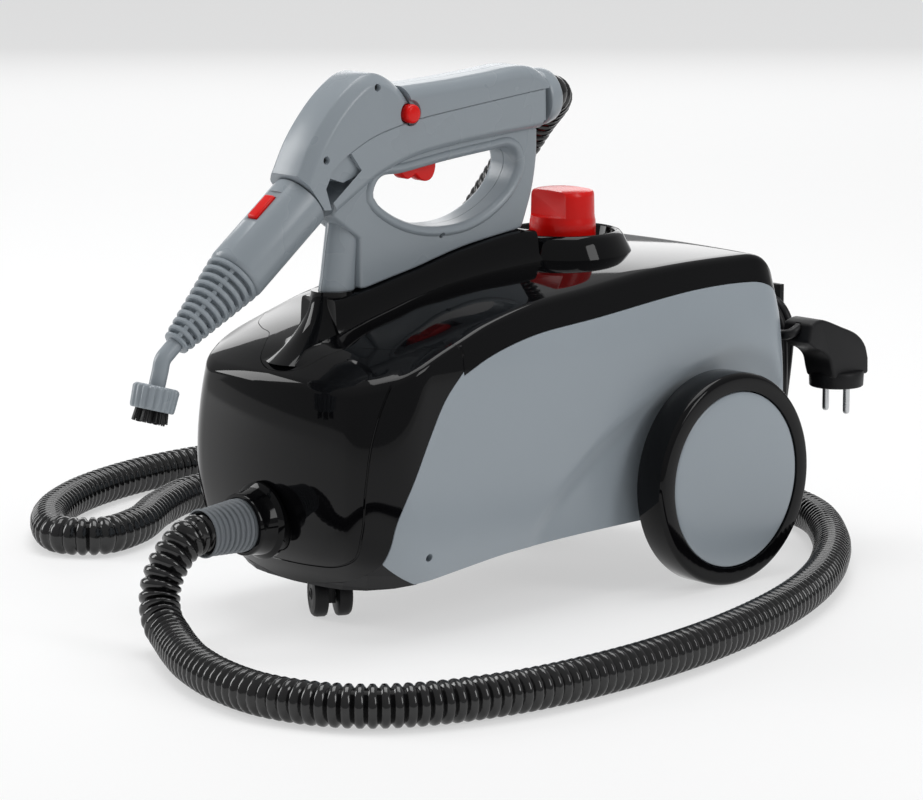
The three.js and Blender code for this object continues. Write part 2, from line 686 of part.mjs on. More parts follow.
function fluted(levels, teeth, depth, origin, dir) {
  const rings = levels.map(([r, h]) => {
    const ring = [];
    for (let i = 0; i < 2 * teeth; i += 1) {
      const a = (Math.PI * i) / teeth;
      const rr = i % 2 ? r - depth : r;
      ring.push([rr * Math.cos(a), h, -rr * Math.sin(a)]);
    }
    return ring;
  });
  const q = new THREE.Quaternion().setFromUnitVectors(new THREE.Vector3(0, 1, 0), new THREE.Vector3(...dir));
  return loft(rings.map((ring) => ring.map((p) => {
    const v = new THREE.Vector3(...p).applyQuaternion(q);
    return [v.x + origin[0], v.y + origin[1], v.z + origin[2]];
  })));
}

const ringSkin = fluted([[13.2, 0], [14.9, 1.6], [14, 15.5]], 18, 1.1, ringTop.toArray(), tipDir.toArray());
const ringBore = turned([[0, -1], [5.7, -1], [5.7, 9], [11.6, 9], [11.6, 16], [0, 16]], ringTop.toArray(), tipDir.toArray(), 18);
add('brush_ring', ringSkin.subtract(ringBore), GREY);

const tufts = [rod(onTip(10), onTip(24), 3.2, 3.6, 6)];
for (let i = 0; i < 6; i += 1) {
  const a = (i * Math.PI) / 3;
  const side = new THREE.Vector3(Math.cos(a), 0, 0);
  side.addScaledVector(new THREE.Vector3(1, 0, 0).cross(tipDir), Math.sin(a));
  const at = (h, r) => new THREE.Vector3(...onTip(h)).addScaledVector(side, r).toArray();
  tufts.push(rod(at(10, 7.4), at(24, 8.6), 3, 3.4, 6));
}
add('brush_bristles', join(rod(onTip(9.4), onTip(12), 11.2, 11.2, 18), ...tufts), BRISTLE);

// ---------- filler cap, neck and boiler ----------

const capSkin = turned(
  [[0, 222.5], [22.3, 222.5], [22.6, 237], [21.9, 241], [21.4, 257], [20.4, 258.6], [12, 259.8], [0, 260.2]],
  [0, CAP_Y, 0],
  [0, 0, 1],
  32,
);
const capHollow = rod([0, CAP_Y, 215], [0, CAP_Y, 254.5], 18.8, 18.8, 24);
const grips = [1, -1].map((s) => {
  const y0 = CAP_Y + s * 13.8;
  return box(-30, 30, Math.min(y0, y0 + s * 20), Math.max(y0, y0 + s * 20), 242, 270);
});
const capTop = cut(capSkin, ...grips);
const gripWalls = box(-17, 17, CAP_Y - 12.6, CAP_Y + 12.6, 230, 254.5);
const roundRoom = rod([0, CAP_Y, 215], [0, CAP_Y, 240.6], 18.8, 18.8, 24);
add('filler_cap', cut(capTop, roundRoom, capHollow.intersect(gripWalls)), RED);

add(
  'filler_plug',
  turned(
    [[0, 210], [10, 210], [10.8, 212], [10.8, 239.1], [15.6, 239.1], [15.6, 240.3], [11.6, 240.3], [11.6, 247], [5, 247], [5, 254.1], [0, 254.1]],
    [0, CAP_Y, 0],
    [0, 0, 1],
    24,
  ),
  BLACK_MATTE,
);
const ringProfile = (r0, r1, z0, z1) => [[r0, z0], [r1, z0], [r1, z1], [r0, z1], [r0, z0]];
add('filler_gasket', turned(ringProfile(11.3, 15, 236.4, 238.7), [0, CAP_Y, 0], [0, 0, 1], 24), RUBBER);
add(
  'filler_neck',
  turned(
    [[11.3, 192.4], [17.6, 192.4], [17.6, 195.6], [14.6, 197], [14.6, 236], [11.3, 236], [11.3, 192.4]],
    [0, CAP_Y, 0],
    [0, 0, 1],
    28,
  ),
  BRASS,
);
add(
  'boiler_lower',
  turned(
    [[0, 89], [40, 89], [53, 98], [56, 109], [56, 138], [61, 138], [61, 140], [54, 140], [54, 109.4],
      [51.4, 99.4], [39.4, 91], [0, 91]],
    [0, CAP_Y, 0],
    [0, 0, 1],
    24,
  ),
  ALLOY,
);
add(
  'boiler_upper',
  turned(
    [[11.3, 190], [39.4, 190], [51.4, 181.6], [54, 171.6], [54, 140.4], [61, 140.4], [61, 142.4], [56, 142.4],
      [56, 172], [53, 183], [40, 192], [11.3, 192], [11.3, 190]],
    [0, CAP_Y, 0],
    [0, 0, 1],
    24,
  ),
  ALLOY,
);
add(
  'heating_element',
  turned([[32, 84.5], [34, 81], [38, 81], [40, 84.5], [38, 88], [34, 88], [32, 84.5]], [0, CAP_Y, 0], [0, 0, 1], 24),
  STEEL,
);
add('thermostat', turned([[0, 192.5], [7.5, 192.5], [7.5, 196], [4, 197.4], [0, 197.4]], [29, CAP_Y, 0], [0, 0, 1], 20), BLACK_MATTE);
const valveCoil = rod([0, -10, 114], [0, -10, 140], 12, 12, 24);
const valveInlet = rod([0, 4, 128], [0, 28.6, 128], 3, 3, 14);
add('solenoid_valve', join(box(-13, 13, -26, 6, 92, 116), valveCoil, box(-6, 6, -10, 6, 116, 134), valveInlet), BRASS);
add('steam_pipe', tube([[0, -26.6, 104], [0, -60, 102], [0, -110, 84], [0, -150, 72], [0, -181, 70.4]], 3.6, 10, 16), BRASS);
const boardBlocks = [-54, -44, -34].map((x) => box(x, x + 7, 162, 186, 59, 70));
add('terminal_board', join(box(-60, -20, 156, 192, 56, 60), ...boardBlocks), BOARD);

// ---------- wheels ----------

const rimProfile = [
  [4.4, -2], [11, -2], [11, 8], [62, 9.5], [66.5, 0], [70.8, 0], [72, 2], [72, 21.6], [69.6, 24],
  [59.8, 24], [59.8, 17.6], [11, 13.5], [4.4, 13.5], [4.4, -2],
];
const hubProfile = [[0, 18.4], [57, 18.4], [HUB_R, 19.4], [HUB_R, 22.8], [57.6, 23.7], [0, 23.9]];
add('rear_axle', rod([-119, WHEEL_Y, WHEEL_R], [119, WHEEL_Y, WHEEL_R], AXLE_R, AXLE_R, 20), STEEL);
for (const [name, s] of [['right', 1], ['left', -1]]) {
  const at = [s * 103, WHEEL_Y, WHEEL_R];
  add(`wheel_rim_${name}`, turned(rimProfile, at, [s, 0, 0], 40), BLACK_GLOSS);
  add(`hub_disc_${name}`, turned(hubProfile, at, [s, 0, 0], 40), GREY);
  add(`axle_retainer_${name}`, turned(ringProfile(4.3, 8.5, 14.1, 15.3), at, [s, 0, 0], 14), STEEL);
}

// ---------- caster ----------

const roll = [Math.sin(Math.PI / 3), -Math.cos(Math.PI / 3), 0];
const across = [Math.cos(Math.PI / 3), Math.sin(Math.PI / 3), 0];
const hubAt = (offset) => [
  roll[0] * CASTER_TRAIL + across[0] * offset,
  CASTER_Y + roll[1] * CASTER_TRAIL + across[1] * offset,
  CASTER_R,
];
const forkBox = new THREE.BoxGeometry(15, 5, 22);
forkBox.translate(4, 0, 0);
forkBox.rotateZ(-Math.PI / 6);
const fork = place(forkBox, 0, CASTER_Y, 20.4);
const stem = turned([[0, 28], [13, 28], [13, 33.4], [5, 33.4], [5, 57], [0, 57]], [0, CASTER_Y, 0], [0, 0, 1], 24);
const casterSolid = join(fork, stem);
const casterWheelRoom = [-1, 1].map((s) => rod(hubAt(s * 2.9), hubAt(s * 20), 15.6, 15.6, 28));
const casterPinHole = rod(hubAt(-20), hubAt(20), 2.4, 2.4, 14);
add('caster_yoke', largest(cut(casterSolid, ...casterWheelRoom, casterPinHole)), BLACK_MATTE);
add('caster_axle', rod(hubAt(-12.6), hubAt(12.6), 2, 2, 14), STEEL);
for (const [name, s] of [['right', 1], ['left', -1]]) {
  const profile = [[2.4, 3.3], [13.6, 3.3], [15, 4.6], [15, 10], [13.4, 12.4], [9, 13.4], [2.4, 13.4], [2.4, 3.3]];
  add(`caster_wheel_${name}`, turned(profile, hubAt(0), across.map((v) => v * s), 24), BLACK_MATTE);
}

// ---------- mains lead ----------

function racetrack(half, z0, z1) {
  const ring = [];
  for (let i = 0; i <= 8; i += 1) {
    const a = (Math.PI * i) / 8;
    ring.push([HOOK_X + half * Math.cos(a), z1 - half + half * Math.sin(a)]);
  }
  for (let i = 0; i <= 8; i += 1) {
    const a = Math.PI + (Math.PI * i) / 8;
    ring.push([HOOK_X + half * Math.cos(a), z0 + half + half * Math.sin(a)]);
  }
  return ring;
}

const ringAtY = (pts, y) => pts.map(([x, z]) => [x, y, z]);
const windingOuter = racetrack(27, 63, 175);
const windingInner = racetrack(12.5, 77.5, 160.5);
const winding = cut(
  loft([ringAtY(windingOuter, 227), ringAtY(windingOuter, 260)]),
  loft([ringAtY(windingInner, 220), ringAtY(windingInner, 270)]),
);
add('mains_cord_winding', winding, CORD);
add('mains_cord_lead_in', tube([[-40, 206, 66], [-40, 222, 66], [-40, 237, 65.8], [-32, 246, 62], [-14, 247, 57.6], [8, 246, 56.4], [22, 246, 58.2]], CORD_R, 8, 8), CORD);
add(
  'mains_cord_tail',
  tube([[60.8, 244, 118], [62, 243, 134], [65, 235, 147], [70.6, 225, 152], [79, 219.4, 153.4], [86, 218.6, 154.6], [PLUG_X, 222, 156.2], [PLUG_X, 227.5, 158.7]], CORD_R, 8, 8),
  CORD,
);

const plugSide = [
  [223, 150], [226, 162], [237, 164.5], [277, 149], [286.5, 134], [286.5, 121], [248, 121], [245, 136], [231, 145],
];
const plugHead = pillow(plugSide, 13, 4, 2);
const plugBase = rod([PLUG_X, 267, 113.5], [PLUG_X, 267, 124], 18.8, 19.2, 32);
const cordEntry = rod([0, 215, 153], [0, 229, 159.4], 5, 4.2, 14);
plugHead.translate([PLUG_X, 0, 0]);
const plugBody = join(plugHead.translate([PLUG_X, 0, 0]), plugBase).subtract(cordEntry.translate([PLUG_X, 0, 0]));
const pinAt = (s) => [PLUG_X + s * 9.5, 267];
const pinHoles = [-1, 1].map((s) => rod([...pinAt(s), 110], [...pinAt(s), 122], 2.7, 2.7, 14));
add('mains_plug', cut(plugBody, ...pinHoles), BLACK_MATTE);
for (const [name, s] of [['right', 1], ['left', -1]]) {
  add(`plug_pin_${name}`, turned([[0, 94.5], [1.4, 94.5], [2.4, 96], [2.4, 121.6], [0, 121.6]], [...pinAt(s), 0], [0, 0, 1], 14), STEEL);
}

// ---------- steam hose ----------

const HOSE_GUN_END = [
  [0, 60.2, 324], [0, 65, 324.5], [0, 71, 325.1], [-9, 84, 320.5], [-34, 94, 303], [-56, 97, 280], [-76, 98, 256],
];
const HOSE_FLOOR = [
  [-76.26, 98, 255.7], [-100.3, 99.2, 226.8], [-126, 100, 190], [-154, 102, 140], [-186, 108, 84],
  [-224, 112, 40], [-266, 104, 17], [-304, 70, 13.2], [-308, 14, 13.2], [-282, -40, 13.2], [-250, -86, 13.2],
  [-240, -126, 13.2], [-262, -144, 13.2], [-304, -122, 13.2], [-342, -80, 13.2], [-372, -22, 13.2],
  [-390, 56, 13.2], [-384, 136, 13.2], [-344, 214, 13.2], [-268, 276, 13.2], [-166, 310, 13.2],
  [-56, 314, 13.2], [44, 289, 13.2], [110, 238, 13.2], [160, 181, 13.2], [199, 121, 13.2], [233, 46, 13.2],
  [260, -50, 13.2], [271, -148, 13.2], [266, -226, 13.2], [244, -288, 13.2], [214, -318, 13.2],
  [172, -331, 13.2], [127, -327, 13.2], [84, -313, 13.2], [52, -297, 13.4],
  [28, -284, 15], [12, -278, 21], [3, -273, 31], [0, -268.5, 43], [0, -262, 54.5], [0, -253, 63.5], [0, -245.5, 67.9],
  [0, -239.5, 68.9], [0, -232, 69.1], [0, -222.2, 69.4],
];
add('hose_gun_end', tube(HOSE_GUN_END, HOSE_R, 8, 26), HOSE);
add('hose_floor_run', tube(HOSE_FLOOR, HOSE_R, 8, 32), HOSE);

export default group;
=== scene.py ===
import json
import math

import bmesh
import bpy
from mathutils import Matrix, Vector


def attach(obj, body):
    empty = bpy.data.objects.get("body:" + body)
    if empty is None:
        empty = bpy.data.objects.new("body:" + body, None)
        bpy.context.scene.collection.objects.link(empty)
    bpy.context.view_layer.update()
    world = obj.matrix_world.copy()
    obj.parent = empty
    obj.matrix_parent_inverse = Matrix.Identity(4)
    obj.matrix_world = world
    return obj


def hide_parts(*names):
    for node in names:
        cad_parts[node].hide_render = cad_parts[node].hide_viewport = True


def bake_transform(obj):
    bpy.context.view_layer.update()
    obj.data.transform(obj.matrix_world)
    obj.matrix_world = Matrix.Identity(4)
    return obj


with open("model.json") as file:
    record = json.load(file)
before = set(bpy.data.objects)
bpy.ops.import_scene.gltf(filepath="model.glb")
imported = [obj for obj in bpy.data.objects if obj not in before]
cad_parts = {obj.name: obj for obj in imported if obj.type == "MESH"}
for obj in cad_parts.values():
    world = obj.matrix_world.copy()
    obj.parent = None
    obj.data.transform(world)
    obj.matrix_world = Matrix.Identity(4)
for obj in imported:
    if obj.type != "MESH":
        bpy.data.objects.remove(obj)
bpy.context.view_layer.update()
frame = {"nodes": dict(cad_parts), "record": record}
nodes = frame["nodes"]

# The machine's own measures, in millimetres. Its own origin is 10.5 mm behind the shared frame's.
SETBACK = 10.5
AXLE_Y, AXLE_Z = 124.0, 72.0
CAP_Y = 85.0
HOOK_X = 30.0
LEAD_D = 7.0
SIDES = (("right", 1), ("left", -1))


def at(x, y, z):
    """A place on the machine, from its millimetres to the frame's metres."""
    return Vector((x, y + SETBACK, z)) * 0.001


# ---------- working with meshes ----------

def nothing_selected():
    if bpy.context.object and bpy.context.object.mode != "OBJECT":
        bpy.ops.object.mode_set(mode="OBJECT")
    bpy.ops.object.select_all(action="DESELECT")


def take(obj):
    nothing_selected()
    obj.select_set(True)
    bpy.context.view_layer.objects.active = obj
    return obj


def new_piece(name, points, faces):
    mesh = bpy.data.meshes.new(name)
    mesh.from_pydata([tuple(p) for p in points], [], faces)
    obj = bpy.data.objects.new(name, mesh)
    bpy.context.scene.collection.objects.link(obj)
    return take(obj)


def tidy_mesh(obj, merge=1e-6):
    take(obj)
    bpy.ops.object.mode_set(mode="EDIT")
    bpy.ops.mesh.select_all(action="SELECT")
    bpy.ops.mesh.remove_doubles(threshold=merge)
    bpy.ops.mesh.normals_make_consistent(inside=False)
    bpy.ops.object.mode_set(mode="OBJECT")
    return obj


def apply_modifier(obj, kind, **settings):
    take(obj)
    mod = obj.modifiers.new(kind.title(), kind)
    for key, value in settings.items():
        setattr(mod, key, value)
    bpy.ops.object.modifier_apply(modifier=mod.name)
    return obj


def round_edges(obj, width, segments=3, angle=40):
    return apply_modifier(
        obj, "BEVEL", width=width * 0.001, segments=segments, limit_method="ANGLE",
        angle_limit=math.radians(angle), use_clamp_overlap=True, harden_normals=False,
    )


def solid(obj, tool, operation):
    """Cut, join or keep what is common with a tool, which is used up."""
    apply_modifier(obj, "BOOLEAN", object=tool, operation=operation, solver="EXACT")
    bpy.data.objects.remove(tool, do_unlink=True)
    return obj


def cut(obj, *tools):
    for tool in tools:
        solid(obj, tool, "DIFFERENCE")
    return obj


def weld(obj, *tools):
    for tool in tools:
        solid(obj, tool, "UNION")
    return obj


def copy_of(obj, name):
    twin = obj.copy()
    twin.data = obj.data.copy()
    twin.name = name
    bpy.context.scene.collection.objects.link(twin)
    return twin


def smooth(obj, angle=35):
    take(obj)
    bpy.ops.object.shade_smooth_by_angle(angle=math.radians(angle), keep_sharp_edges=False)
    return obj


def smooth_line(points, count, closed=False):
    """Evenly spaced points along a smooth centripetal line through the given ones."""
    pts = [Vector(p) for p in points]
    if closed:
        pts = [pts[-1]] + pts + [pts[0], pts[1]]
    else:
        pts = [2 * pts[0] - pts[1]] + pts + [2 * pts[-1] - pts[-2]]
    fine = []
    for i in range(1, len(pts) - 2):
        p = pts[i - 1 : i + 3]
        t = [0.0]
        for a, b in zip(p, p[1:]):
            t.append(t[-1] + max(1e-6, (b - a).length) ** 0.5)
        for k in range(24):
            u = t[1] + (t[2] - t[1]) * k / 24
            a1 = p[0].lerp(p[1], (u - t[0]) / (t[1] - t[0]))
            a2 = p[1].lerp(p[2], (u - t[1]) / (t[2] - t[1]))
            a3 = p[2].lerp(p[3], (u - t[2]) / (t[3] - t[2]))
            b1 = a1.lerp(a2, (u - t[0]) / (t[2] - t[0]))
            b2 = a2.lerp(a3, (u - t[1]) / (t[3] - t[1]))
            fine.append(b1.lerp(b2, (u - t[1]) / (t[2] - t[1])))
    fine.append(fine[0].copy() if closed else pts[-2])
    run = [0.0]
    for a, b in zip(fine, fine[1:]):
        run.append(run[-1] + (b - a).length)
    last = count if closed else count - 1
    line = []
    j = 0
    for i in range(count):
        want = run[-1] * i / last
        while j < len(run) - 2 and run[j + 1] < want:
            j += 1
        span = run[j + 1] - run[j]
        line.append(fine[j].lerp(fine[j + 1], 0 if span == 0 else (want - run[j]) / span))
    return line, run[-1]


def curve(points, count, closed=False):
    line = smooth_line(points, count, closed)[0]
    return [(p.x, p.y) for p in (line[:-1] if closed else line)]


def grow(points, d):
    """A closed outline moved outwards by d."""
    n = len(points)
    area = sum(
        points[i][0] * points[(i + 1) % n][1] - points[(i + 1) % n][0] * points[i][1] for i in range(n)
    )
    side = 1 if area > 0 else -1
    out = []
    for i in range(n):
        e1 = (Vector(points[i]) - Vector(points[i - 1])).normalized()
        e2 = (Vector(points[(i + 1) % n]) - Vector(points[i])).normalized()
        n1 = Vector((e1.y, -e1.x))
        m = (n1 + Vector((e2.y, -e2.x))).normalized()
        k = d * side / max(0.4, m.dot(n1))
        out.append((points[i][0] + m.x * k, points[i][1] + m.y * k))
    return out


def mirrored(half, y):
    """A ring across the machine from its right half, given as (X, Z)."""
    return [at(x, y, z) for x, z in half] + [at(-x, y, z) for x, z in reversed(half)]


def oval(y, z, ry, rx, sides=56):
    """A level oval ring, centred on the middle plane."""
    turns = [2 * math.pi * i / sides for i in range(sides)]
    return [at(rx * math.cos(a), y + ry * math.sin(a), z) for a in turns]


def pushed(name, points, push):
    """An outline pushed straight into a plate."""
    obj = new_piece(name, points, [list(range(len(points)))])
    bpy.ops.object.mode_set(mode="EDIT")
    bpy.ops.mesh.select_all(action="SELECT")
    bpy.ops.mesh.extrude_region_move(TRANSFORM_OT_translate={"value": push})
    bpy.ops.mesh.select_all(action="SELECT")
    bpy.ops.mesh.normals_make_consistent(inside=False)
    bpy.ops.object.mode_set(mode="OBJECT")
    return obj


def slab(name, outline, x0, x1):
    """A plate across the machine: an outline in (Y, Z), pushed from x0 to x1."""
    return pushed(name, [at(x0, y, z) for y, z in outline], ((x1 - x0) * 0.001, 0, 0))


def plan_slab(name, outline, z0, z1):
    """A plate lying flat: an outline in (X, Y), pushed from z0 to z1."""
    return pushed(name, [at(x, y, z0) for x, y in outline], (0, 0, (z1 - z0) * 0.001))


def plain_block(name, sx, sy, sz, place=(0, 0, 0)):
    bpy.ops.mesh.primitive_cube_add(size=1, location=place)
    obj = bpy.context.object
    obj.name = name
    obj.scale = (sx * 0.001, sy * 0.001, sz * 0.001)
    bpy.ops.object.transform_apply(location=True, rotation=True, scale=True)
    return obj


def block(name, x0, x1, y0, y1, z0, z1):
    middle = at((x0 + x1) / 2, (y0 + y1) / 2, (z0 + z1) / 2)
    return plain_block(name, x1 - x0, y1 - y0, z1 - z0, middle)


def turned(name, profile, origin, direction, sides=64):
    """A turned piece: rings of [radius, height] along a direction, closed on itself or capped."""
    loop = Vector(profile[0]) == Vector(profile[-1])
    rows = [p for p in profile if p[0] > 0]
    bpy.ops.mesh.primitive_circle_add(
        vertices=sides, radius=rows[0][0] * 0.001, location=(0, 0, rows[0][1] * 0.001),
        fill_type="NOTHING" if loop else "NGON",
    )
    obj = bpy.context.object
    obj.name = name
    bpy.ops.object.transform_apply(location=True, rotation=False, scale=False)
    bpy.ops.object.mode_set(mode="EDIT")
    bpy.ops.mesh.select_all(action="SELECT")
    r, h = rows[0]
    for r1, h1 in rows[1:]:
        bpy.ops.mesh.extrude_region_move(TRANSFORM_OT_translate={"value": (0, 0, (h1 - h) * 0.001)})
        bpy.ops.transform.resize(value=(r1 / r, r1 / r, 1), center_override=(0, 0, h1 * 0.001))
        r, h = r1, h1
    bpy.ops.mesh.select_all(action="SELECT")
    bpy.ops.mesh.remove_doubles(threshold=1e-6)
    bpy.ops.mesh.normals_make_consistent(inside=False)
    bpy.ops.object.mode_set(mode="OBJECT")
    obj.rotation_mode = "QUATERNION"
    obj.rotation_quaternion = Vector((0, 0, 1)).rotation_difference(Vector(direction))
    obj.location = at(*origin)
    bpy.ops.object.transform_apply(location=True, rotation=True, scale=True)
    return obj


def rod(name, radius, h0, h1, origin, direction, sides=64):
    """A plain round bar from one height to another along a direction."""
    return turned(name, [[0, h0], [radius, h0], [radius, h1], [0, h1]], origin, direction, sides)


def lofted(name, rings):
    """A closed skin over rings of the same number of points."""
    n = len(rings[0])
    faces = []
    for k in range(len(rings) - 1):
        for i in range(n):
            j = (i + 1) % n
            faces.append((k * n + i, k * n + j, (k + 1) * n + j, (k + 1) * n + i))
    faces.append(tuple(reversed(range(n))))
    faces.append(tuple(range((len(rings) - 1) * n, len(rings) * n)))
    obj = new_piece(name, [p for ring in rings for p in ring], faces)
    return tidy_mesh(obj)


def swept(name, line, radius, sides):
    """A tube round a line, one ring per point; radius is a number or a function of the ring's index."""
    rings = []
    side = Vector((0, 0, 1)).cross(line[1] - line[0]).normalized()
    if side.length < 0.5:
        side = Vector((1, 0, 0))
    for i, p in enumerate(line):
        ahead = (line[min(i + 1, len(line) - 1)] - line[max(i - 1, 0)]).normalized()
        side = (side - ahead * side.dot(ahead)).normalized()
        up = ahead.cross(side)
        r = radius(i) if callable(radius) else radius
        ring = []
        for k in range(sides):
            a = 2 * math.pi * k / sides
            ring.append(p + side * (r * math.cos(a)) + up * (r * math.sin(a)))
        rings.append(ring)
    return lofted(name, rings)


# ---------- finishes ----------

def finish(name, colour, roughness, metallic=0.0, coat=0.0, specular=0.5):
    mat = bpy.data.materials.new(name)
    mat.use_nodes = True
    tree = mat.node_tree
    shader = tree.nodes["Principled BSDF"]
    shader.inputs["Metallic"].default_value = metallic
    shader.inputs["Coat Weight"].default_value = coat
    shader.inputs["Coat Roughness"].default_value = 0.04
    shader.inputs["Specular IOR Level"].default_value = specular
    shader.inputs["Roughness"].default_value = roughness
    shader.inputs["Base Color"].default_value = (*colour, 1)
    return mat, tree, shader


def grain(tree, shader, scale, depth, colour=None, change=0.06, rough=None, detail=4.0):
    """Fine moulded texture: bump, a slight drift of colour and of roughness."""
    coords = tree.nodes.new("ShaderNodeTexCoord")
    noise = tree.nodes.new("ShaderNodeTexNoise")
    noise.inputs["Scale"].default_value = scale
    noise.inputs["Detail"].default_value = detail
    tree.links.new(coords.outputs["Object"], noise.inputs["Vector"])
    bump = tree.nodes.new("ShaderNodeBump")
    bump.inputs["Strength"].default_value = 1.0
    bump.inputs["Distance"].default_value = depth
    tree.links.new(noise.outputs["Fac"], bump.inputs["Height"])
    tree.links.new(bump.outputs["Normal"], shader.inputs["Normal"])
    drift = tree.nodes.new("ShaderNodeTexNoise")
    drift.inputs["Scale"].default_value = 14.0
    drift.inputs["Detail"].default_value = 3.0
    tree.links.new(coords.outputs["Object"], drift.inputs["Vector"])
    if colour:
        mix = tree.nodes.new("ShaderNodeMix")
        mix.data_type = "RGBA"
        mix.inputs["A"].default_value = (*[c * (1 - change) for c in colour], 1)
        mix.inputs["B"].default_value = (*[min(1, c * (1 + change)) for c in colour], 1)
        tree.links.new(drift.outputs["Fac"], mix.inputs["Factor"])
        tree.links.new(mix.outputs["Result"], shader.inputs["Base Color"])
    if rough:
        spread = tree.nodes.new("ShaderNodeMapRange")
        spread.inputs["To Min"].default_value = rough[0]
        spread.inputs["To Max"].default_value = rough[1]
        tree.links.new(drift.outputs["Fac"], spread.inputs["Value"])
        tree.links.new(spread.outputs["Result"], shader.inputs["Roughness"])


def grey_shell_plastic():
    colour = (0.305, 0.345, 0.38)
    mat, tree, shader = finish("grey shell plastic", colour, 0.34)
    grain(tree, shader, 2600, 0.00002, colour, 0.03, (0.27, 0.34))
    return mat


def gun_grey_plastic():
    colour = (0.27, 0.305, 0.335)
    mat, tree, shader = finish("gun grey plastic", colour, 0.3)
    grain(tree, shader, 2600, 0.00002, colour, 0.03, (0.24, 0.31))
    return mat


def piano_black():
    colour = (0.0025, 0.0025, 0.003)
    mat, tree, shader = finish("piano black", colour, 0.05, specular=0.2)
    grain(tree, shader, 60, 0.000004, colour, 0.2, (0.035, 0.06), detail=2.0)
    return mat


def grained_black():
    colour = (0.006, 0.006, 0.007)
    mat, tree, shader = finish("grained black", colour, 0.4, specular=0.25)
    grain(tree, shader, 1900, 0.00005, colour, 0.15, (0.38, 0.52))
    return mat


def signal_red():
    colour = (0.72, 0.006, 0.004)
    mat, tree, shader = finish("signal red", colour, 0.25, specular=0.25)
    grain(tree, shader, 1500, 0.00001, colour, 0.04, (0.2, 0.3))
    return mat


def boot_grey():
    colour = (0.15, 0.165, 0.18)
    mat, tree, shader = finish("boot grey rubber", colour, 0.55)
    grain(tree, shader, 1800, 0.00004, colour, 0.08, (0.5, 0.62))
    return mat


def hose_black():
    colour = (0.003, 0.003, 0.0033)
    mat, tree, shader = finish("hose black", colour, 0.12, specular=0.6)
    grain(tree, shader, 900, 0.00001, colour, 0.2, (0.1, 0.18))
    return mat


def lead_black():
    colour = (0.006, 0.006, 0.007)
    mat, tree, shader = finish("lead black", colour, 0.35, specular=0.3)
    grain(tree, shader, 1500, 0.00004, colour, 0.15, (0.34, 0.46))
    return mat


def bristle_black():
    colour = (0.009, 0.009, 0.01)
    mat, tree, shader = finish("bristle black", colour, 0.5)
    grain(tree, shader, 1200, 0.0001, colour, 0.25, (0.4, 0.6))
    return mat


def satin_steel():
    colour = (0.55, 0.56, 0.57)
    mat, tree, shader = finish("satin steel", colour, 0.28, metallic=1.0)
    grain(tree, shader, 1400, 0.00002, colour, 0.05, (0.22, 0.34))
    return mat


def cast_alloy():
    colour = (0.58, 0.6, 0.61)
    mat, tree, shader = finish("cast alloy", colour, 0.42, metallic=1.0)
    grain(tree, shader, 700, 0.0001, colour, 0.07, (0.36, 0.5))
    return mat


def satin_brass():
    colour = (0.56, 0.36, 0.11)
    mat, tree, shader = finish("satin brass", colour, 0.3, metallic=1.0)
    grain(tree, shader, 1100, 0.00003, colour, 0.08, (0.24, 0.38))
    return mat


def board_cream():
    colour = (0.66, 0.62, 0.5)
    mat, tree, shader = finish("board cream", colour, 0.5)
    grain(tree, shader, 900, 0.00004, colour, 0.05, (0.45, 0.58))
    return mat


GREY = grey_shell_plastic()
GUN_GREY = gun_grey_plastic()
BLACK = piano_black()
MATT = grained_black()
RED = signal_red()
BOOT = boot_grey()
HOSE = hose_black()
LEAD = lead_black()
BRISTLE = bristle_black()
STEEL = satin_steel()
ALLOY = cast_alloy()
BRASS = satin_brass()
CREAM = board_cream()

CARRIED_OVER = {
    "grey_plastic": GREY,
    "grey_rubber": BOOT,
    "black_gloss": BLACK,
    "black_plastic": MATT,
    "red_plastic": RED,
    "bristle": BRISTLE,
    "steel": STEEL,
    "boiler_alloy": ALLOY,
    "brass": BRASS,
    "hose_cover": HOSE,
    "cord_rubber": LEAD,
    "board": CREAM,
}
SLOT_OF = {part["node"]: part["material_slot"] for part in frame["record"]["subparts"]}
for name, node in nodes.items():
    mat = CARRIED_OVER[SLOT_OF[name]]
    for place in node.material_slots:
        place.material = mat


def done(obj, mat, body, *stands_for, angle=35, slot=None):
    """The last step of every piece: its finish, its shading, its body and the CAD nodes it stands for."""
    obj.data.materials.clear()
    obj.data.materials.append(mat)
    smooth(obj, angle)
    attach(obj, body)
    if stands_for:
        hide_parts(*stands_for)
    return obj


def refined(node, mat, body, width=0.5, segments=2, angle=40):
    """A CAD node with its edges softened."""
    obj = copy_of(nodes[node], node + "_soft")
    obj.hide_render = False
    tidy_mesh(obj)
    take(obj)
    bpy.ops.object.mode_set(mode="EDIT")
    bpy.ops.mesh.select_all(action="SELECT")
    bpy.ops.mesh.dissolve_limited(angle_limit=math.radians(1))
    bpy.ops.object.mode_set(mode="OBJECT")
    if width:
        round_edges(obj, width, segments, angle)
    return done(obj, mat, body, node, angle=35)


# ---------- camera, floor and light ----------

VIEW_LENS = 160.74
VIEW_PLACE = (1957.6, -1867.7, 624.0)
VIEW_FROM, VIEW_UP = math.radians(46.49), math.radians(10.45)
looking = Vector((
    -math.sin(VIEW_FROM) * math.cos(VIEW_UP),
    math.cos(VIEW_FROM) * math.cos(VIEW_UP),
    -math.sin(VIEW_UP),
))


def camera():
    data = bpy.data.cameras.new("view")
    data.lens = VIEW_LENS
    data.sensor_width = 36.0
    data.clip_end = 60.0
    obj = bpy.data.objects.new("view", data)
    bpy.context.scene.collection.objects.link(obj)
    obj.location = at(*VIEW_PLACE)
    obj.rotation_euler = looking.to_track_quat("-Z", "Y").to_euler()
    bpy.context.scene.camera = obj


FLOOR_GLOW = 0.52


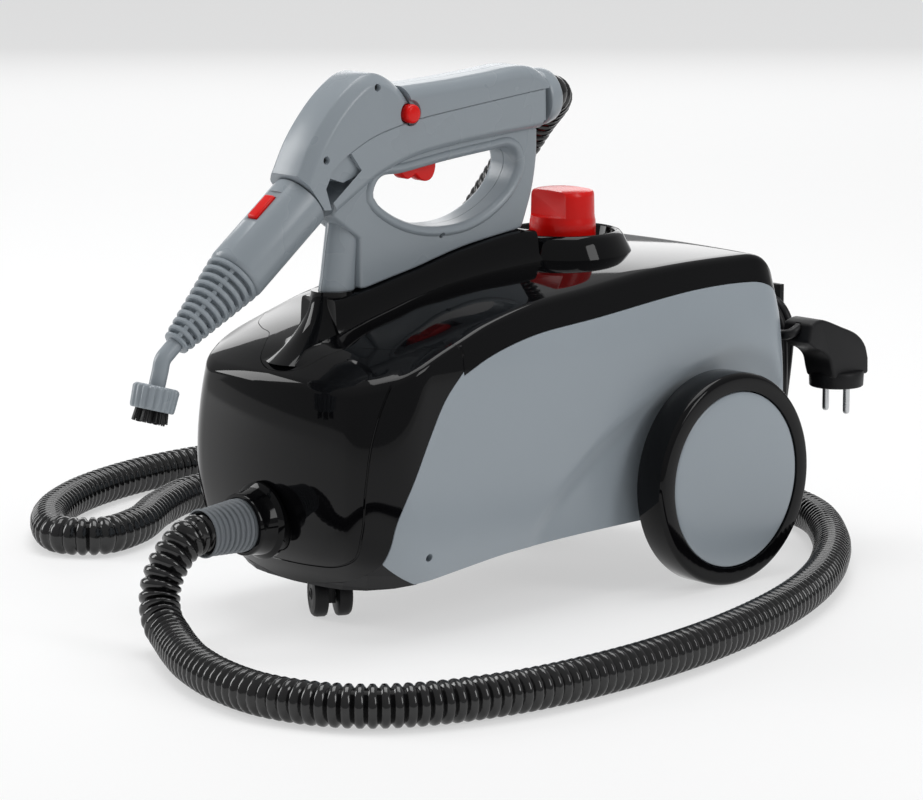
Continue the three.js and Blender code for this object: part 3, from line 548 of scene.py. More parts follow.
def floor():
    nothing_selected()
    bpy.ops.mesh.primitive_plane_add(size=30, location=(0, 0, 0))
    obj = bpy.context.object
    obj.name = "floor"
    mat, _, shader = finish("floor paint", (0.42, 0.42, 0.42), 0.7, specular=0.1)
    shader.inputs["Emission Color"].default_value = (1, 1, 1, 1)
    shader.inputs["Emission Strength"].default_value = FLOOR_GLOW
    obj.data.materials.append(mat)


def panel_light(name, place, target, size, power, size_y=None):
    data = bpy.data.lights.new(name, "AREA")
    data.shape = "RECTANGLE"
    data.size = size
    data.size_y = size_y or size
    data.energy = power
    obj = bpy.data.objects.new(name, data)
    bpy.context.scene.collection.objects.link(obj)
    obj.location = place
    obj.rotation_euler = (Vector(target) - Vector(place)).to_track_quat("-Z", "Y").to_euler()


def light():
    world = bpy.data.worlds.new("studio")
    bpy.context.scene.world = world
    world.use_nodes = True
    tree = world.node_tree
    back = tree.nodes["Background"]
    coords = tree.nodes.new("ShaderNodeTexCoord")
    split = tree.nodes.new("ShaderNodeSeparateXYZ")
    ramp = tree.nodes.new("ShaderNodeValToRGB")
    tree.links.new(coords.outputs["Generated"], split.inputs["Vector"])
    tree.links.new(split.outputs["Z"], ramp.inputs["Fac"])
    tree.links.new(ramp.outputs["Color"], back.inputs["Color"])
    ramp.color_ramp.elements[0].position = 0.0
    ramp.color_ramp.elements[0].color = (0.55, 0.555, 0.56, 1)
    ramp.color_ramp.elements[1].position = 0.9
    ramp.color_ramp.elements[1].color = (0.75, 0.755, 0.76, 1)
    back.inputs["Strength"].default_value = 0.6
    panel_light("top box", (-0.3, 0.3, 2.4), (0, 0, 0.1), 1.6, 28)
    panel_light("left box", (-2.2, -1.2, 1.2), (0, 0, 0.15), 0.9, 26, 1.6)
    panel_light("right box", (2.6, 0.8, 1.6), (0, 0, 0.15), 0.8, 20, 1.6)
    panel_light("back box", (-2.5, 2.3, 1.15), (0, 0, 0.2), 3.0, 20, 1.2)


camera()
floor()
light()
bpy.context.scene.view_settings.view_transform = "Standard"


# ---------- steam hose ----------

HOSE_ROUTE = [
    (0, -222.2, 69.4), (0, -232, 69.1), (0, -239.5, 68.9), (0, -245.5, 67.9), (0, -253, 63.5),
    (0, -262, 54.5), (0, -268.5, 43), (3, -273, 31), (12, -278, 21), (28, -284, 15), (52, -297, 13.4),
    (84, -313, 13.2), (127, -327, 13.2), (172, -331, 13.2), (214, -318, 13.2), (244, -288, 13.2),
    (266, -226, 13.2), (271, -148, 13.2), (260, -50, 13.2), (233, 46, 13.2), (199, 121, 13.2),
    (160, 181, 13.2), (110, 238, 13.2), (44, 289, 13.2), (-56, 314, 13.2), (-166, 310, 13.2),
    (-268, 276, 13.2), (-344, 214, 13.2), (-384, 136, 13.2), (-390, 56, 13.2), (-372, -22, 13.2),
    (-342, -80, 13.2), (-304, -122, 13.2), (-262, -144, 13.2), (-240, -126, 13.2), (-250, -86, 13.2),
    (-282, -40, 13.2), (-308, 14, 13.2), (-304, 70, 13.2), (-266, 104, 17), (-224, 112, 40),
    (-186, 108, 84), (-154, 102, 140), (-126, 100, 190), (-100.3, 99.2, 226.8), (-76, 98, 256),
    (-56, 97, 280), (-34, 94, 303), (-9, 84, 320.5), (0, 71, 325.1), (0, 65, 324.5), (0, 60.6, 324.05),
]
RIB_PITCH = 0.0072
RIB = [0.0106, 0.0118, 0.0130, 0.01325, 0.01325, 0.0130, 0.0118]


def steam_hose():
    route = [at(*p) for p in HOSE_ROUTE]
    length = smooth_line(route, 50)[1]
    ribs = round(length / RIB_PITCH)
    line, length = smooth_line(route, ribs * len(RIB) + 1)
    hose = swept("steam_hose", line, lambda i: RIB[i % len(RIB)], 20)
    hose.data.materials.append(HOSE)
    smooth(hose, 80)
    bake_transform(hose)
    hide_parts("hose_floor_run", "hose_gun_end")
    return length


# ---------- mains lead on its two hooks ----------

LEAD_STEP = 7.4
HOOK_CENTRES = (148.0, 90.0)
INNER_TURN, OUTER_TURN = 16.2, 23.4
FIRST_TURN_Y, LAST_TURN_Y = 231, 256


def winding_turn(radius, y0, y1):
    """One turn round both hooks, sliding along Y as it goes."""
    steps = []
    for hook, z in enumerate(HOOK_CENTRES):
        for i in range(9):
            a = math.pi * (hook + i / 8)
            steps.append((HOOK_X + radius * math.cos(a), z + radius * math.sin(a)))
    return [(x, y0 + (y1 - y0) * i / len(steps), z) for i, (x, z) in enumerate(steps)]


def mains_lead():
    """The lead: out of its gland, four turns away from the cover, four back over them, up to the plug."""
    route = [
        (-40, 226, 66), (-40, 232, 66), (-40, 238, 65.6), (-32, 243.4, 62), (-14, 240, 58.6),
        (6, 234, 60),
    ]
    turns = []
    for k in range(4):
        end = FIRST_TURN_Y + LEAD_STEP * (k + 1) - (LEAD_STEP * 0.6 if k == 3 else 0)
        turns += winding_turn(INNER_TURN, FIRST_TURN_Y + LEAD_STEP * k, end)
    for k in range(4):
        start = LAST_TURN_Y - LEAD_STEP * k
        turns += winding_turn(OUTER_TURN, start, LAST_TURN_Y - LEAD_STEP * (k + 1))
    route += turns[9:]
    route += [(55.6, 232, 140), (61, 232, 146), (66.5, 227.6, 150.4), (72, 222, 152.6)]
    route += [(79, 219.4, 153.4), (86, 218.8, 154.6), (88, 222, 156.2), (88, 227.5, 158.7)]
    route = [at(*p) for p in route]
    length = smooth_line(route, 50)[1]
    line, length = smooth_line(route, round(length / 0.003))
    lead = swept("mains_lead", line, LEAD_D * 0.0005, 12)
    done(lead, LEAD, "chassis", "mains_cord_winding", "mains_cord_lead_in", "mains_cord_tail", angle=80)
    return lead, line, length


steam_hose()
lead, lead_line, lead_length = mains_lead()


# ---------- body shell ----------

# Height, half width, front reach, front corner radius, rear reach.
LEVELS = [
    (18, 76, 154, 40, 192), (30, 84, 160, 40, 200), (40, 90, 167, 38, 206), (52, 94.5, 175, 34, 211),
    (67, 96.5, 181, 31, 214), (95, 98, 184.5, 30, 216), (130, 97.5, 183, 30, 217),
    (165, 95.5, 178, 33, 215.5), (180, 93.5, 173, 36, 214), (212, 88, 155, 44, 209),
    (232, 84, 145, 44, 205),
]
# Place along Y, height at the side edge, height on the centre line.
DECK = [
    (-205, 140, 146), (-184, 150, 159), (-172, 156, 167), (-156, 165, 179), (-138, 173, 187),
    (-120, 180, 193), (-96, 188, 199), (-70, 196, 205), (-28, 204, 212), (20, 208, 216.5),
    (89, 214, 218.5), (176, 214.5, 216.5), (189, 212, 213.5), (200, 204.5, 206), (210, 192, 193),
    (222, 168, 169), (236, 140, 141),
]
UNDERSIDE = [(-210, 25), (-166, 25), (-140, 29), (-100, 37), (-48, 44), (58, 47), (240, 47)]
ARCH = [
    (-58, 20), (-50, 46), (-32, 67), (0, 93), (40, 118), (96, 142), (126, 153), (154, 159), (185, 152),
    (205, 136), (216, 112), (219, 20),
]
UNLIMITED, ARCH_RIM, ARCH_DEPTH, ARCH_SLOPE = 120.0, 98.5, 7.0, 15.0
FRONT_BOW, REAR_CORNER = 16.0, 26.0
WALL, SEAM_GAP, HALF_GAP = 2.6, 0.5, 0.2
# Points along the nose, corner, flank, heel and tail.
SKIN_COUNTS = (8, 14, 84, 10, 8)
CAVITY_COUNTS = (4, 6, 24, 4, 3)
RIM_STEPS, DECK_STEPS, FLOOR_STEPS = 6, 14, 4


def between(table, u):
    """Smooth values of a table at u, by its first column."""
    if u <= table[0][0]:
        return table[0][1:]
    if u >= table[-1][0]:
        return table[-1][1:]
    i = max(k for k in range(len(table) - 1) if table[k][0] <= u)
    a, b = table[i], table[i + 1]
    before, after = table[max(0, i - 1)], table[min(len(table) - 1, i + 2)]
    h = b[0] - a[0]
    t = (u - a[0]) / h
    out = []
    for k in range(1, len(a)):
        m0 = (b[k] - before[k]) / (b[0] - before[0])
        m1 = (after[k] - a[k]) / (after[0] - a[0])
        s = (2 * t**3 - 3 * t**2 + 1) * a[k] + (t**3 - 2 * t**2 + t) * h * m0
        out.append(s + (-2 * t**3 + 3 * t**2) * b[k] + (t**3 - t**2) * h * m1)
    return out


def deck_height(x, y):
    edge, middle = between(DECK, y)
    k = min(1.0, (x / 88) ** 2)
    return edge + (middle - edge) * (1 - k)


def plan_half(z, inset, counts):
    """One half of the body's outline at a height, from the nose to the tail."""
    width, front, rf, rear = between(LEVELS, z)
    hw, yf, yr = width - inset, -(front - inset), rear - inset
    r1, r2 = rf - inset, REAR_CORNER - inset
    nose, corner, flank, heel, tail = counts
    pts = []
    for i in range(nose):
        pts.append([(hw - r1) * i / nose, yf, 1])
    for i in range(corner):
        a = -math.pi / 2 + math.pi / 2 * i / corner
        pts.append([hw - r1 + r1 * math.cos(a), yf + r1 + r1 * math.sin(a), 1])
    for i in range(flank):
        fade = 1 if i == 0 else max(0.0, 1 - i / flank * 6)
        pts.append([hw, yf + r1 + (yr - r2 - yf - r1) * i / flank, fade])
    for i in range(heel):
        a = math.pi / 2 * i / heel
        pts.append([hw - r2 + r2 * math.cos(a), yr - r2 + r2 * math.sin(a), 0])
    for i in range(tail + 1):
        x = (hw - r2) * (1 - i / tail)
        pts.append([x, yr + 2 * (1 - (x / max(1, hw - r2)) ** 2), 0])
    return [(x, y + k * FRONT_BOW * (x / width) ** 2) for x, y, k in pts]


def arch_limit(y, z, outline):
    """How far out the flank may reach at a place, with a sloping band inside the arch line."""
    p = Vector((y, z))
    inside = False
    near = 1e9
    n = len(outline)
    for i in range(n):
        a, b = outline[i], outline[(i + 1) % n]
        if (a.y > z) != (b.y > z) and y < (b.x - a.x) * (z - a.y) / (b.y - a.y) + a.x:
            inside = not inside
        ab = b - a
        t = max(0.0, min(1.0, (p - a).dot(ab) / ab.length_squared))
        near = min(near, (a + ab * t - p).length)
    if not inside:
        return UNLIMITED
    return ARCH_RIM - ARCH_DEPTH * min(1.0, near / ARCH_SLOPE) ** 0.8


def body_form(name, inset, counts, rows, rim, arch):
    """The whole body as one closed skin: walls, a rounded rim and the deck."""
    outline = smooth_line(ARCH, 60)[0] if arch else None
    start = plan_half(100, inset, counts)
    size = len(start)
    columns = [[] for _ in range(size)]
    for i in range(size):
        low = between(UNDERSIDE, start[i][1])[0] + inset
        top = 200.0
        for _ in range(12):
            x, y = plan_half(top, inset, counts)[i]
            top = deck_height(x, y) - inset
        low_y = plan_half(low, inset, counts)[i][1]
        low = between(UNDERSIDE, low_y)[0] + inset
        for k in range(rows + 1):
            columns[i].append(low + (top - rim - low) * k / rows)
    rings = []
    for k in range(rows + 1):
        ring = []
        for i in range(size):
            z = columns[i][k]
            x, y = plan_half(z, inset, counts)[i]
            if arch and x > 85:
                x = min(x, arch_limit(y, z, outline) - inset)
            ring.append((x, y, z))
        rings.append(ring)
    for k in range(1, RIM_STEPS + 1):
        a = math.pi / 2 * k / RIM_STEPS
        ring = []
        for i in range(size):
            _, _, z0 = rings[rows][i]
            xi, yi = plan_half(z0, inset + rim * (1 - math.cos(a)), counts)[i]
            full = deck_height(xi, yi) - inset
            ring.append((xi, yi, z0 + (full - z0) * math.sin(a)))
        rings.append(ring)
    edge = rings[-1]
    for k in range(1, DECK_STEPS + 1):
        f = 1 - k / DECK_STEPS
        ring = []
        for i in range(size):
            x0, y0, _ = edge[i]
            y = max(-96.0, min(150.0, y0))
            x, y = x0 * f, y + (y0 - y) * f
            ring.append((x, y, deck_height(x, y) - inset))
        rings.append(ring)
    bottom = []
    for k in range(1, FLOOR_STEPS + 1):
        f = 1 - k / FLOOR_STEPS
        bottom.insert(0, [(x * f, y, z) for x, y, z in rings[0]])
    rings = bottom + rings
    points, faces = [], []
    for side in (1, -1):
        base = len(points)
        for ring in rings:
            points += [at(side * x, y, z) for x, y, z in ring]
        for k in range(len(rings) - 1):
            for i in range(size - 1):
                a, b = base + k * size + i, base + k * size + i + 1
                faces.append((a, b, b + size, a + size))
    obj = new_piece(name, points, faces)
    return tidy_mesh(obj, 2e-5)


# Lower edge of the black band along the side, the cover's seam over the nose,
# and the front panel's side edge.
BAND = [
    (-97, 166), (-74, 175), (-34, 184), (26, 189), (120, 197), (169, 197), (186, 195), (203, 187),
    (212, 176),
]
NOSE_SEAM = [
    (99, -90), (94, -97), (85, -110), (75, -122), (56, -135), (40, -143), (31, -154), (22, -166),
    (10, -172),
]
FRONT_EDGE = [
    (-96, 170), (-115, 152), (-128, 132), (-142, 106), (-150, 89), (-154, 76), (-155, 60), (-155, 46),
    (-158, 30), (-160, 10),
]


def top_tool(extra):
    """The space that the top cover takes, a little larger by extra."""
    line = [(y, z) for y, z in smooth_line(BAND, 60)[0]]
    low = [(y - (extra if y < -90 else 0), z - extra) for y, z in line]
    behind = slab("behind", low + [(240, 176 - extra), (240, 260), (-97 - extra, 260)], -120, 120)
    nose = NOSE_SEAM + [(0, -173)] + [(-x, y) for x, y in reversed(NOSE_SEAM)]
    seam = [(p.x, p.y - extra) for p in smooth_line(nose, 120)[0]]
    seam = [(x, y) for x, y in seam if y < -97]
    ahead = plan_slab("ahead", seam + [(seam[-1][0], -96), (seam[0][0], -96)], 158 - extra, 261)
    return weld(behind, ahead)


def front_tool(extra):
    """The space that the front panel takes, a little larger by extra."""
    edge = [(p.x + extra, p.y) for p in smooth_line(FRONT_EDGE, 70)[0]]
    ahead = [(-230, 10), (-230, 200), (-110 + extra, 200), (-96 + extra, 176)]
    return slab("front tool", edge + ahead, -120, 120)


def body_panels():
    """The body skin, split into its covers with fine gaps between them."""
    shell = body_form("body", 0, SKIN_COUNTS, 40, 5.0, True)
    cavity = body_form("cavity", WALL, CAVITY_COUNTS, 12, 3.0, False)
    for v in cavity.data.vertices:
        v.co.x = max(-0.088, min(0.088, v.co.x))
    cut(shell, cavity)
    top = copy_of(shell, "deck")
    solid(top, top_tool(0), "INTERSECT")
    cut(shell, top_tool(SEAM_GAP))
    front = copy_of(shell, "nose_panel")
    solid(front, front_tool(0), "INTERSECT")
    cut(shell, front_tool(SEAM_GAP))
    rear = copy_of(shell, "tail_panel")
    solid(rear, block("rear tool", -84, 84, 200, 240, 10, 260), "INTERSECT")
    cut(shell, block("rear tool", -84.5, 84.5, 199.5, 241, 9, 261))
    cut(shell, block("pan tool", -80.4, 80.4, -191, 211, 9, 56.5))
    return top, front, rear, shell


def half_of(obj, name, side):
    """The part of a piece on one side of the middle plane."""
    part = copy_of(obj, name)
    x0, x1 = (HALF_GAP, 130) if side > 0 else (-130, -HALF_GAP)
    keep = block("half", x0, x1, -250, 250, -5, 400)
    return solid(part, keep, "INTERSECT")


def largest_part(obj):
    """Keep the biggest connected part of a piece."""
    mesh = bmesh.new()
    mesh.from_mesh(obj.data)
    left = set(mesh.verts)
    groups = []
    while left:
        seed = left.pop()
        group, stack = {seed}, [seed]
        while stack:
            for edge in stack.pop().link_edges:
                for v in edge.verts:
                    if v in left:
                        left.remove(v)
                        group.add(v)
                        stack.append(v)
        groups.append(group)
    groups.sort(key=len, reverse=True)
    for group in groups[1:]:
        bmesh.ops.delete(mesh, geom=list(group), context="VERTS")
    mesh.to_mesh(obj.data)
    mesh.free()
    return obj


def pedestal():
    """The flared foot under the handle's post."""
    rings = []
    for k in range(21):
        u = k / 20
        z = 170 + 43 * u
        ry = 14.2 + 26 * (1 - u) ** 2.4
        rx = 13.6 + 16 * (1 - u) ** 2.2
        y = -124 - 9 * (1 - u) ** 1.6
        rings.append(oval(y, z, ry, rx))
    return lofted("pedestal", rings)


def ridge():
    """The raised spine under the handle, from the pedestal to the filler well."""
    line = [
        (-136, 209), (-106, 212.5), (-76, 218.5), (-63, 221), (-21, 230.5), (34, 237.6), (50, 235.5),
        (66, 231),
    ]
    tops = [(y, z) for y, z in smooth_line(line, 40)[0]]
    rings = []
    for y, z in tops:
        foot = deck_height(0, y) - 8
        w = 16.2 + 2.4 * max(0.0, min(1.0, (y + 40) / 90))
        half = [(w + 9, foot), (w + 4.2, foot + 7.5), (w + 1.2, foot + 12), (w + 0.4, z - 5)]
        half = [(x, min(h, z)) for x, h in half] + [(w, z - 2.2), (w - 0.8, z - 0.7), (w - 2.4, z)]
        rings.append(mirrored(half, y))
    return lofted("ridge", rings)


top, front, rear, flanks = body_panels()
WELL = [
    (54, 200), (46, 219), (42.5, 226), (40.6, 229.5), (38.6, 231.6), (36.8, 232), (35.4, 231),
    (34, 226), (32, 216), (18.4, 216), (18.4, 200), (54, 200),
]
WELL_ROOM = [(60, 196), (60, 212), (46, 212.2), (46, 240)]
well = turned("well", WELL, (0, CAP_Y, 0), (0, 0, 1), 96)
weld(top, pedestal(), ridge())
cut(top, turned("well room", WELL_ROOM, (0, CAP_Y, 0), (0, 0, 1), 64))
weld(top, well)
done(top, BLACK, "chassis", "top_cover", angle=38)

BORDER = [(88, 170), (84, 130), (82, 100), (78, 72), (69, 54), (50, 45), (26, 42.4), (0, 42)]


def front_reach(x, z):
    """Where the front face stands at a place across the machine and a height."""
    line = plan_half(z, 0, SKIN_COUNTS)
    for (x0, y0), (x1, y1) in zip(line, line[1:]):
        if x0 <= abs(x) <= x1:
            return y0 + (y1 - y0) * (abs(x) - x0) / max(1e-6, x1 - x0)
    return line[0][1]


def border_groove():
    """The fine groove that sets the front face off from its border."""
    path = BORDER + [(-x, z) for x, z in reversed(BORDER[:-1])]
    line = [at(x, front_reach(x, z), z) for x, z in curve(path, 150)]
    return swept("groove", line, 0.0008, 8)


def rear_cover():
    """The rear cover with its two hook bosses, the lead's hole and the switch's hole."""
    boss = [[0, 214], [14, 214], [14, 221.6], [13.4, 222.8], [0, 223]]
    for z in (149, 89):
        weld(rear, turned("boss", boss, (HOOK_X, 0, z), (0, 1, 0), 64))
    cut(rear, rod("gland hole", 5.6, 190, 240, (-40, 0, 66), (0, 1, 0), 32))
    cut(rear, block("switch hole", -52.5, -27.5, 190, 240, 142.5, 159.5))
    done(rear, MATT, "chassis", "rear_panel")


def screw_head(name, place, direction, radius, body):
    """A sunk screw: a plain dark head with a chamfered rim."""
    profile = [[0, 0], [radius, 0], [radius, 0.9], [radius * 0.8, 1.2], [0, 1.2]]
    return done(turned(name, profile, place, direction, 24), MATT, body)


def outlet_and_sides():
    cut(front, rod("seat", 22, -20, 40, OUTLET, OUTLET_DIR, 96), border_groove())
    done(front, BLACK, "chassis", "front_panel")
    for name, s in SIDES:
        side = largest_part(half_of(flanks, "flank_" + name, s))
        cut(side, rod("axle hole", 8, 60, 120, (0, AXLE_Y, AXLE_Z), (s, 0, 0), 48))
        screw = [[0, 80], [2.6, 80], [2.6, 95.4], [3.4, 96.6], [4.4, 110], [0, 110]]
        cut(side, turned("screw hole", screw, (0, -127, 52), (s, 0, 0), 32))
        done(side, GREY, "chassis", "side_panel_" + name)
        screw_head("side_screw_" + name, (s * 86, -127, 52), (s, 0, 0), 4.0, "chassis")
    bpy.data.objects.remove(flanks, do_unlink=True)


OUTLET = (0, -169, 71)
OUTLET_DIR = (0, -1, -0.03)
outlet_and_sides()
rear_cover()


# ---------- outlet and boot ----------

def outlet():
    collar = turned("outlet_collar_piece", [
        [14.4, 0], [21.5, 0], [21.5, 15.4], [22.2, 16], [24.4, 16], [25, 16.6], [25, 18.9],
        [24.4, 19.7], [22, 21.5], [21.2, 25], [20.2, 31], [20.4, 33.4], [20, 34.4], [18, 34.6],
        [17.6, 34.2], [17.6, 22], [14.4, 20], [14.4, 0],
    ], OUTLET, OUTLET_DIR, 96)
    done(collar, BLACK, "chassis", "outlet_collar")
    profile = [[9, 22.6], [17.2, 22.6], [17.2, 35.4]]
    for i in range(7):
        h, r = 36.1 + 4.05 * i, 17.3 - 0.3 * i
        profile += [
            [r - 1.5, h], [r - 0.5, h + 0.3], [r, h + 0.9], [r, h + 2.1], [r - 0.5, h + 2.7],
            [r - 1.5, h + 3.0],
        ]
    profile += [
        [15.6, 64.8], [15.9, 65.4], [15.9, 66.4], [15.3, 67], [14.8, 67], [14.6, 66.6], [14.6, 50],
        [9, 48], [9, 22.6],
    ]
    done(turned("boot", profile, OUTLET, OUTLET_DIR, 80), BOOT, "chassis", "hose_boot", angle=50)


outlet()


# ---------- wheels ----------

def wheels():
    rim = [
        [4.4, -2], [11, -2], [11, 8], [60, 9.2], [62, 8.4], [66, 0.6], [67, 0], [70.4, 0], [71.6, 0.5],
        [72, 1.6], [72, 20.4], [71.7, 21.6], [70.9, 22.9], [70, 23.7], [69, 24], [60.8, 24],
        [60.1, 23.8], [59.8, 23.1], [59.8, 17.6], [11, 13.5], [4.4, 13.5], [4.4, -2],
    ]
    hub = [
        [0, 18.4], [57, 18.4], [59, 19.2], [59.2, 19.8], [59.2, 22.2], [58.9, 22.9], [58.2, 23.3],
        [56.4, 23.6], [50, 23.8], [20, 23.9], [0, 23.9],
    ]
    for name, s in SIDES:
        place = (s * 103, AXLE_Y, AXLE_Z)
        done(turned("rim_" + name, rim, place, (s, 0, 0), 160), BLACK, "wheel_" + name, "wheel_rim_" + name)
        done(turned("hub_" + name, hub, place, (s, 0, 0), 128), GREY, "wheel_" + name, "hub_disc_" + name)


wheels()


# ---------- filler cap ----------

def filler_cap():
    skin = turned("cap", [
        [0, 222.5], [21.8, 222.5], [22.3, 223], [22.5, 236], [22.3, 238.4], [21.9, 240.2], [21.7, 242],
        [21.4, 255.6], [21.1, 257.2], [20.3, 258.6], [18.6, 259.3], [12, 259.8], [5, 260.1], [0, 260.2],
    ], (0, CAP_Y, 0), (0, 0, 1), 96)
    for s in (1, -1):
        y0, y1 = CAP_Y + s * 13.8, CAP_Y + s * 34
        cut(skin, block("grip", -30, 30, min(y0, y1), max(y0, y1), 242, 270))
    cut(skin, rod("cap room", 18.8, 215, 240.6, (0, CAP_Y, 0), (0, 0, 1), 64))
    cut(skin, block("grip room", -17, 17, CAP_Y - 12.2, CAP_Y + 12.2, 230, 254.5))
    round_edges(skin, 0.9, 3, 50)
    done(skin, RED, "filler_cap", "filler_cap")


filler_cap()


# ---------- carry handle ----------

SEAM = [
    (-146, 281), (-143, 289), (-134, 297), (-119, 305.5), (-103, 312), (-79, 317.5), (-63, 320),
    (-20, 324.5), (49, 331),
]
CREASE = [(48, 305), (-24, 300), (-65, 295), (-87, 289), (-100, 284), (-134, 265)]
FINGER = [
    (-99, 272), (-97, 280), (-91, 284.5), (-75, 285), (-36, 289.5), (4, 293), (21, 294), (27, 290.5),
    (29, 282), (22, 269), (4, 256), (-21, 248), (-57, 249.5), (-85, 260),
]
CRADLE = [(52, 309), (-24, 304.5), (-65, 299.5), (-87, 293.5), (-103, 288), (-150, 262)]


def raised(points, d):
    return [(y, z + d) for y, z in points]


def pillow(name, outline, half, bevel, segments, angle=55):
    """A plate with its rims rounded over."""
    return round_edges(slab(name, outline, -half, half), bevel, segments, angle)


def opening(name, outline, half, soft):
    """A hole through a plate, with its mouth rounded outwards on both sides."""
    steps = [(half + 12, soft), (half, soft)]
    for k in range(1, 7):
        a = math.pi / 2 * (1 - k / 6)
        steps.append((half - soft + soft * math.sin(a), soft * (1 - math.cos(a))))
    rings = []
    for x, g in steps + [(-x, g) for x, g in reversed(steps)]:
        rings.append([at(x, y, z) for y, z in (grow(outline, g) if g > 0.01 else outline)])
    return lofted(name, rings)


seam_line = curve(SEAM, 60)
crease_line = curve(CREASE, 60)
finger_line = curve(FINGER, 96, True)


def trough_section(sill, crease):
    """The trough's U-shaped cross-section, from its rounded foot at the crease up to the seam."""
    low = Vector((0, *crease))
    tall = (Vector((0, *sill)) - low).length
    up = (Vector((0, *sill)) - low).normalized()
    foot = min(6.5, tall * 0.6)
    half = [(16, 4.5), (16, tall), (18.4, tall), (19, tall - 0.6), (19, foot)]
    for k in range(1, 9):
        a = math.pi / 2 * k / 8
        half.append((19 - foot + foot * math.cos(a), foot - foot * math.sin(a)))
    ring = [low + up * h + Vector((x, 0, 0)) for x, h in half]
    ring += [low + up * h - Vector((x, 0, 0)) for x, h in reversed(half)]
    return [at(*p) for p in ring]


def nozzle_room():
    return rod("nozzle room", 20.6, 0, 120, (0, -120, 297.5), (0, -95, -73.5), 64)


def trigger_slot():
    return block("slot", -6, 6, -81, -26, 270, 312)


def handle():
    trough = lofted("trough", [trough_section(a, b) for a, b in zip(seam_line, reversed(crease_line))])
    cut(trough, nozzle_room(), trigger_slot())
    cut(trough, rod("button notch", 8, -30, 30, (0, -72, 324), (1, 0, 0), 48))
    front = [(-111, 246), (-134, 262), (-134, 265)]
    lower = curve([(34, 238.9), (-21, 231.4), (-63, 221.9), (-76, 219.4), (-106, 213.4)], 24)
    back = curve([(48, 304), (47.6, 285), (43.6, 264), (37, 246), (34, 238.9)], 14)[:-1]
    top = raised(crease_line[::-1], 3)[1:-1]
    body = pillow("handle", front + top + back + lower + [(-111, 213.4)], 13, 2, 4)
    rim = pillow("rim", grow(finger_line, 7), 15, 3.2, 5)
    post = lofted("post", [
        oval(-120, 212.9, 14, 9.5), oval(-118.4, 222, 13.6, 9.5), oval(-117, 232, 13.5, 9.5),
        oval(-114.6, 246, 13.5, 9.8), oval(-113, 256, 13.5, 10), oval(-112, 262, 12, 10),
    ])
    weld(body, rim, post)
    cut(body, opening("finger hole", finger_line, 15, 4.5), trigger_slot(), nozzle_room())
    hole = [[0, 9.5], [1.5, 9.5], [1.5, 12.4], [2.2, 14], [3, 20], [0, 20]]
    cut(body, turned("handle screw", hole, (0, -40, 241), (1, 0, 0), 24))
    weld(body, trough)
    for name, s in SIDES:
        done(half_of(body, "handle_" + name, s), GUN_GREY, "chassis", "handle_half_" + name, angle=32)
    screw_head("handle_screw_head", (9.4, -40, 241), (1, 0, 0), 1.45, "chassis")
    bpy.data.objects.remove(body, do_unlink=True)


handle()


# ---------- steam gun ----------

BARREL_AXIS = Vector((0, -62, -48)).normalized()
BARREL_UP = Vector((0, BARREL_AXIS.z, -BARREL_AXIS.y))
BUTTON = (0, -72, 324)
CAP_SCREWS = [(-101, 343), (-145, 300)]
HOSE_SEAT, HOSE_SEAT_DIR = (0, 48.4, 322.8), (0, 1, 0.1)


def on_barrel(d, lift=0.0):
    p = Vector((0, -145, 278)) + BARREL_AXIS * d + BARREL_UP * lift
    return (p.x, p.y, p.z)


HUMP_SIDE = [(11.6, 0), (12.6, 0.25), (13.6, 1.0), (17.4, 5.0), (18.4, 6.3), (18.85, 7.3), (19, 8.4)]


def sculpted_plate(name, outline, side):
    """A plate whose outline shrinks towards both faces, in steps of (X, inset)."""
    steps = [(-x, g) for x, g in reversed(side)] + list(side)
    rings = []
    for x, g in steps:
        rings.append([at(x, y, z) for y, z in (grow(outline, -g) if g > 0 else outline)])
    return lofted(name, rings)


def along(line, y):
    """Height of a line at a place along the machine."""
    for (y0, z0), (y1, z1) in zip(line, line[1:]):
        if min(y0, y1) <= y <= max(y0, y1):
            return z0 + (z1 - z0) * (y - y0) / (y1 - y0)
    return line[-1][1] if y > line[-1][0] else line[0][1]


def grip_section(y, top):
    """The gun's cross-section: a tongue in the cradle and a rounded back above the seam."""
    sill = along(seam_line, y) + 0.4
    floor_z = along(CRADLE[::-1], y) + 0.8
    r = min(9.0, (top - sill) * 0.8)
    half = [(15.4, floor_z), (15.4, sill), (18.5, sill), (18.5, top - r)]
    for k in range(1, 9):
        a = math.pi / 2 * k / 8
        half.append((18.5 - r + r * math.cos(a), top - r + r * math.sin(a)))
    return mirrored(half, y)


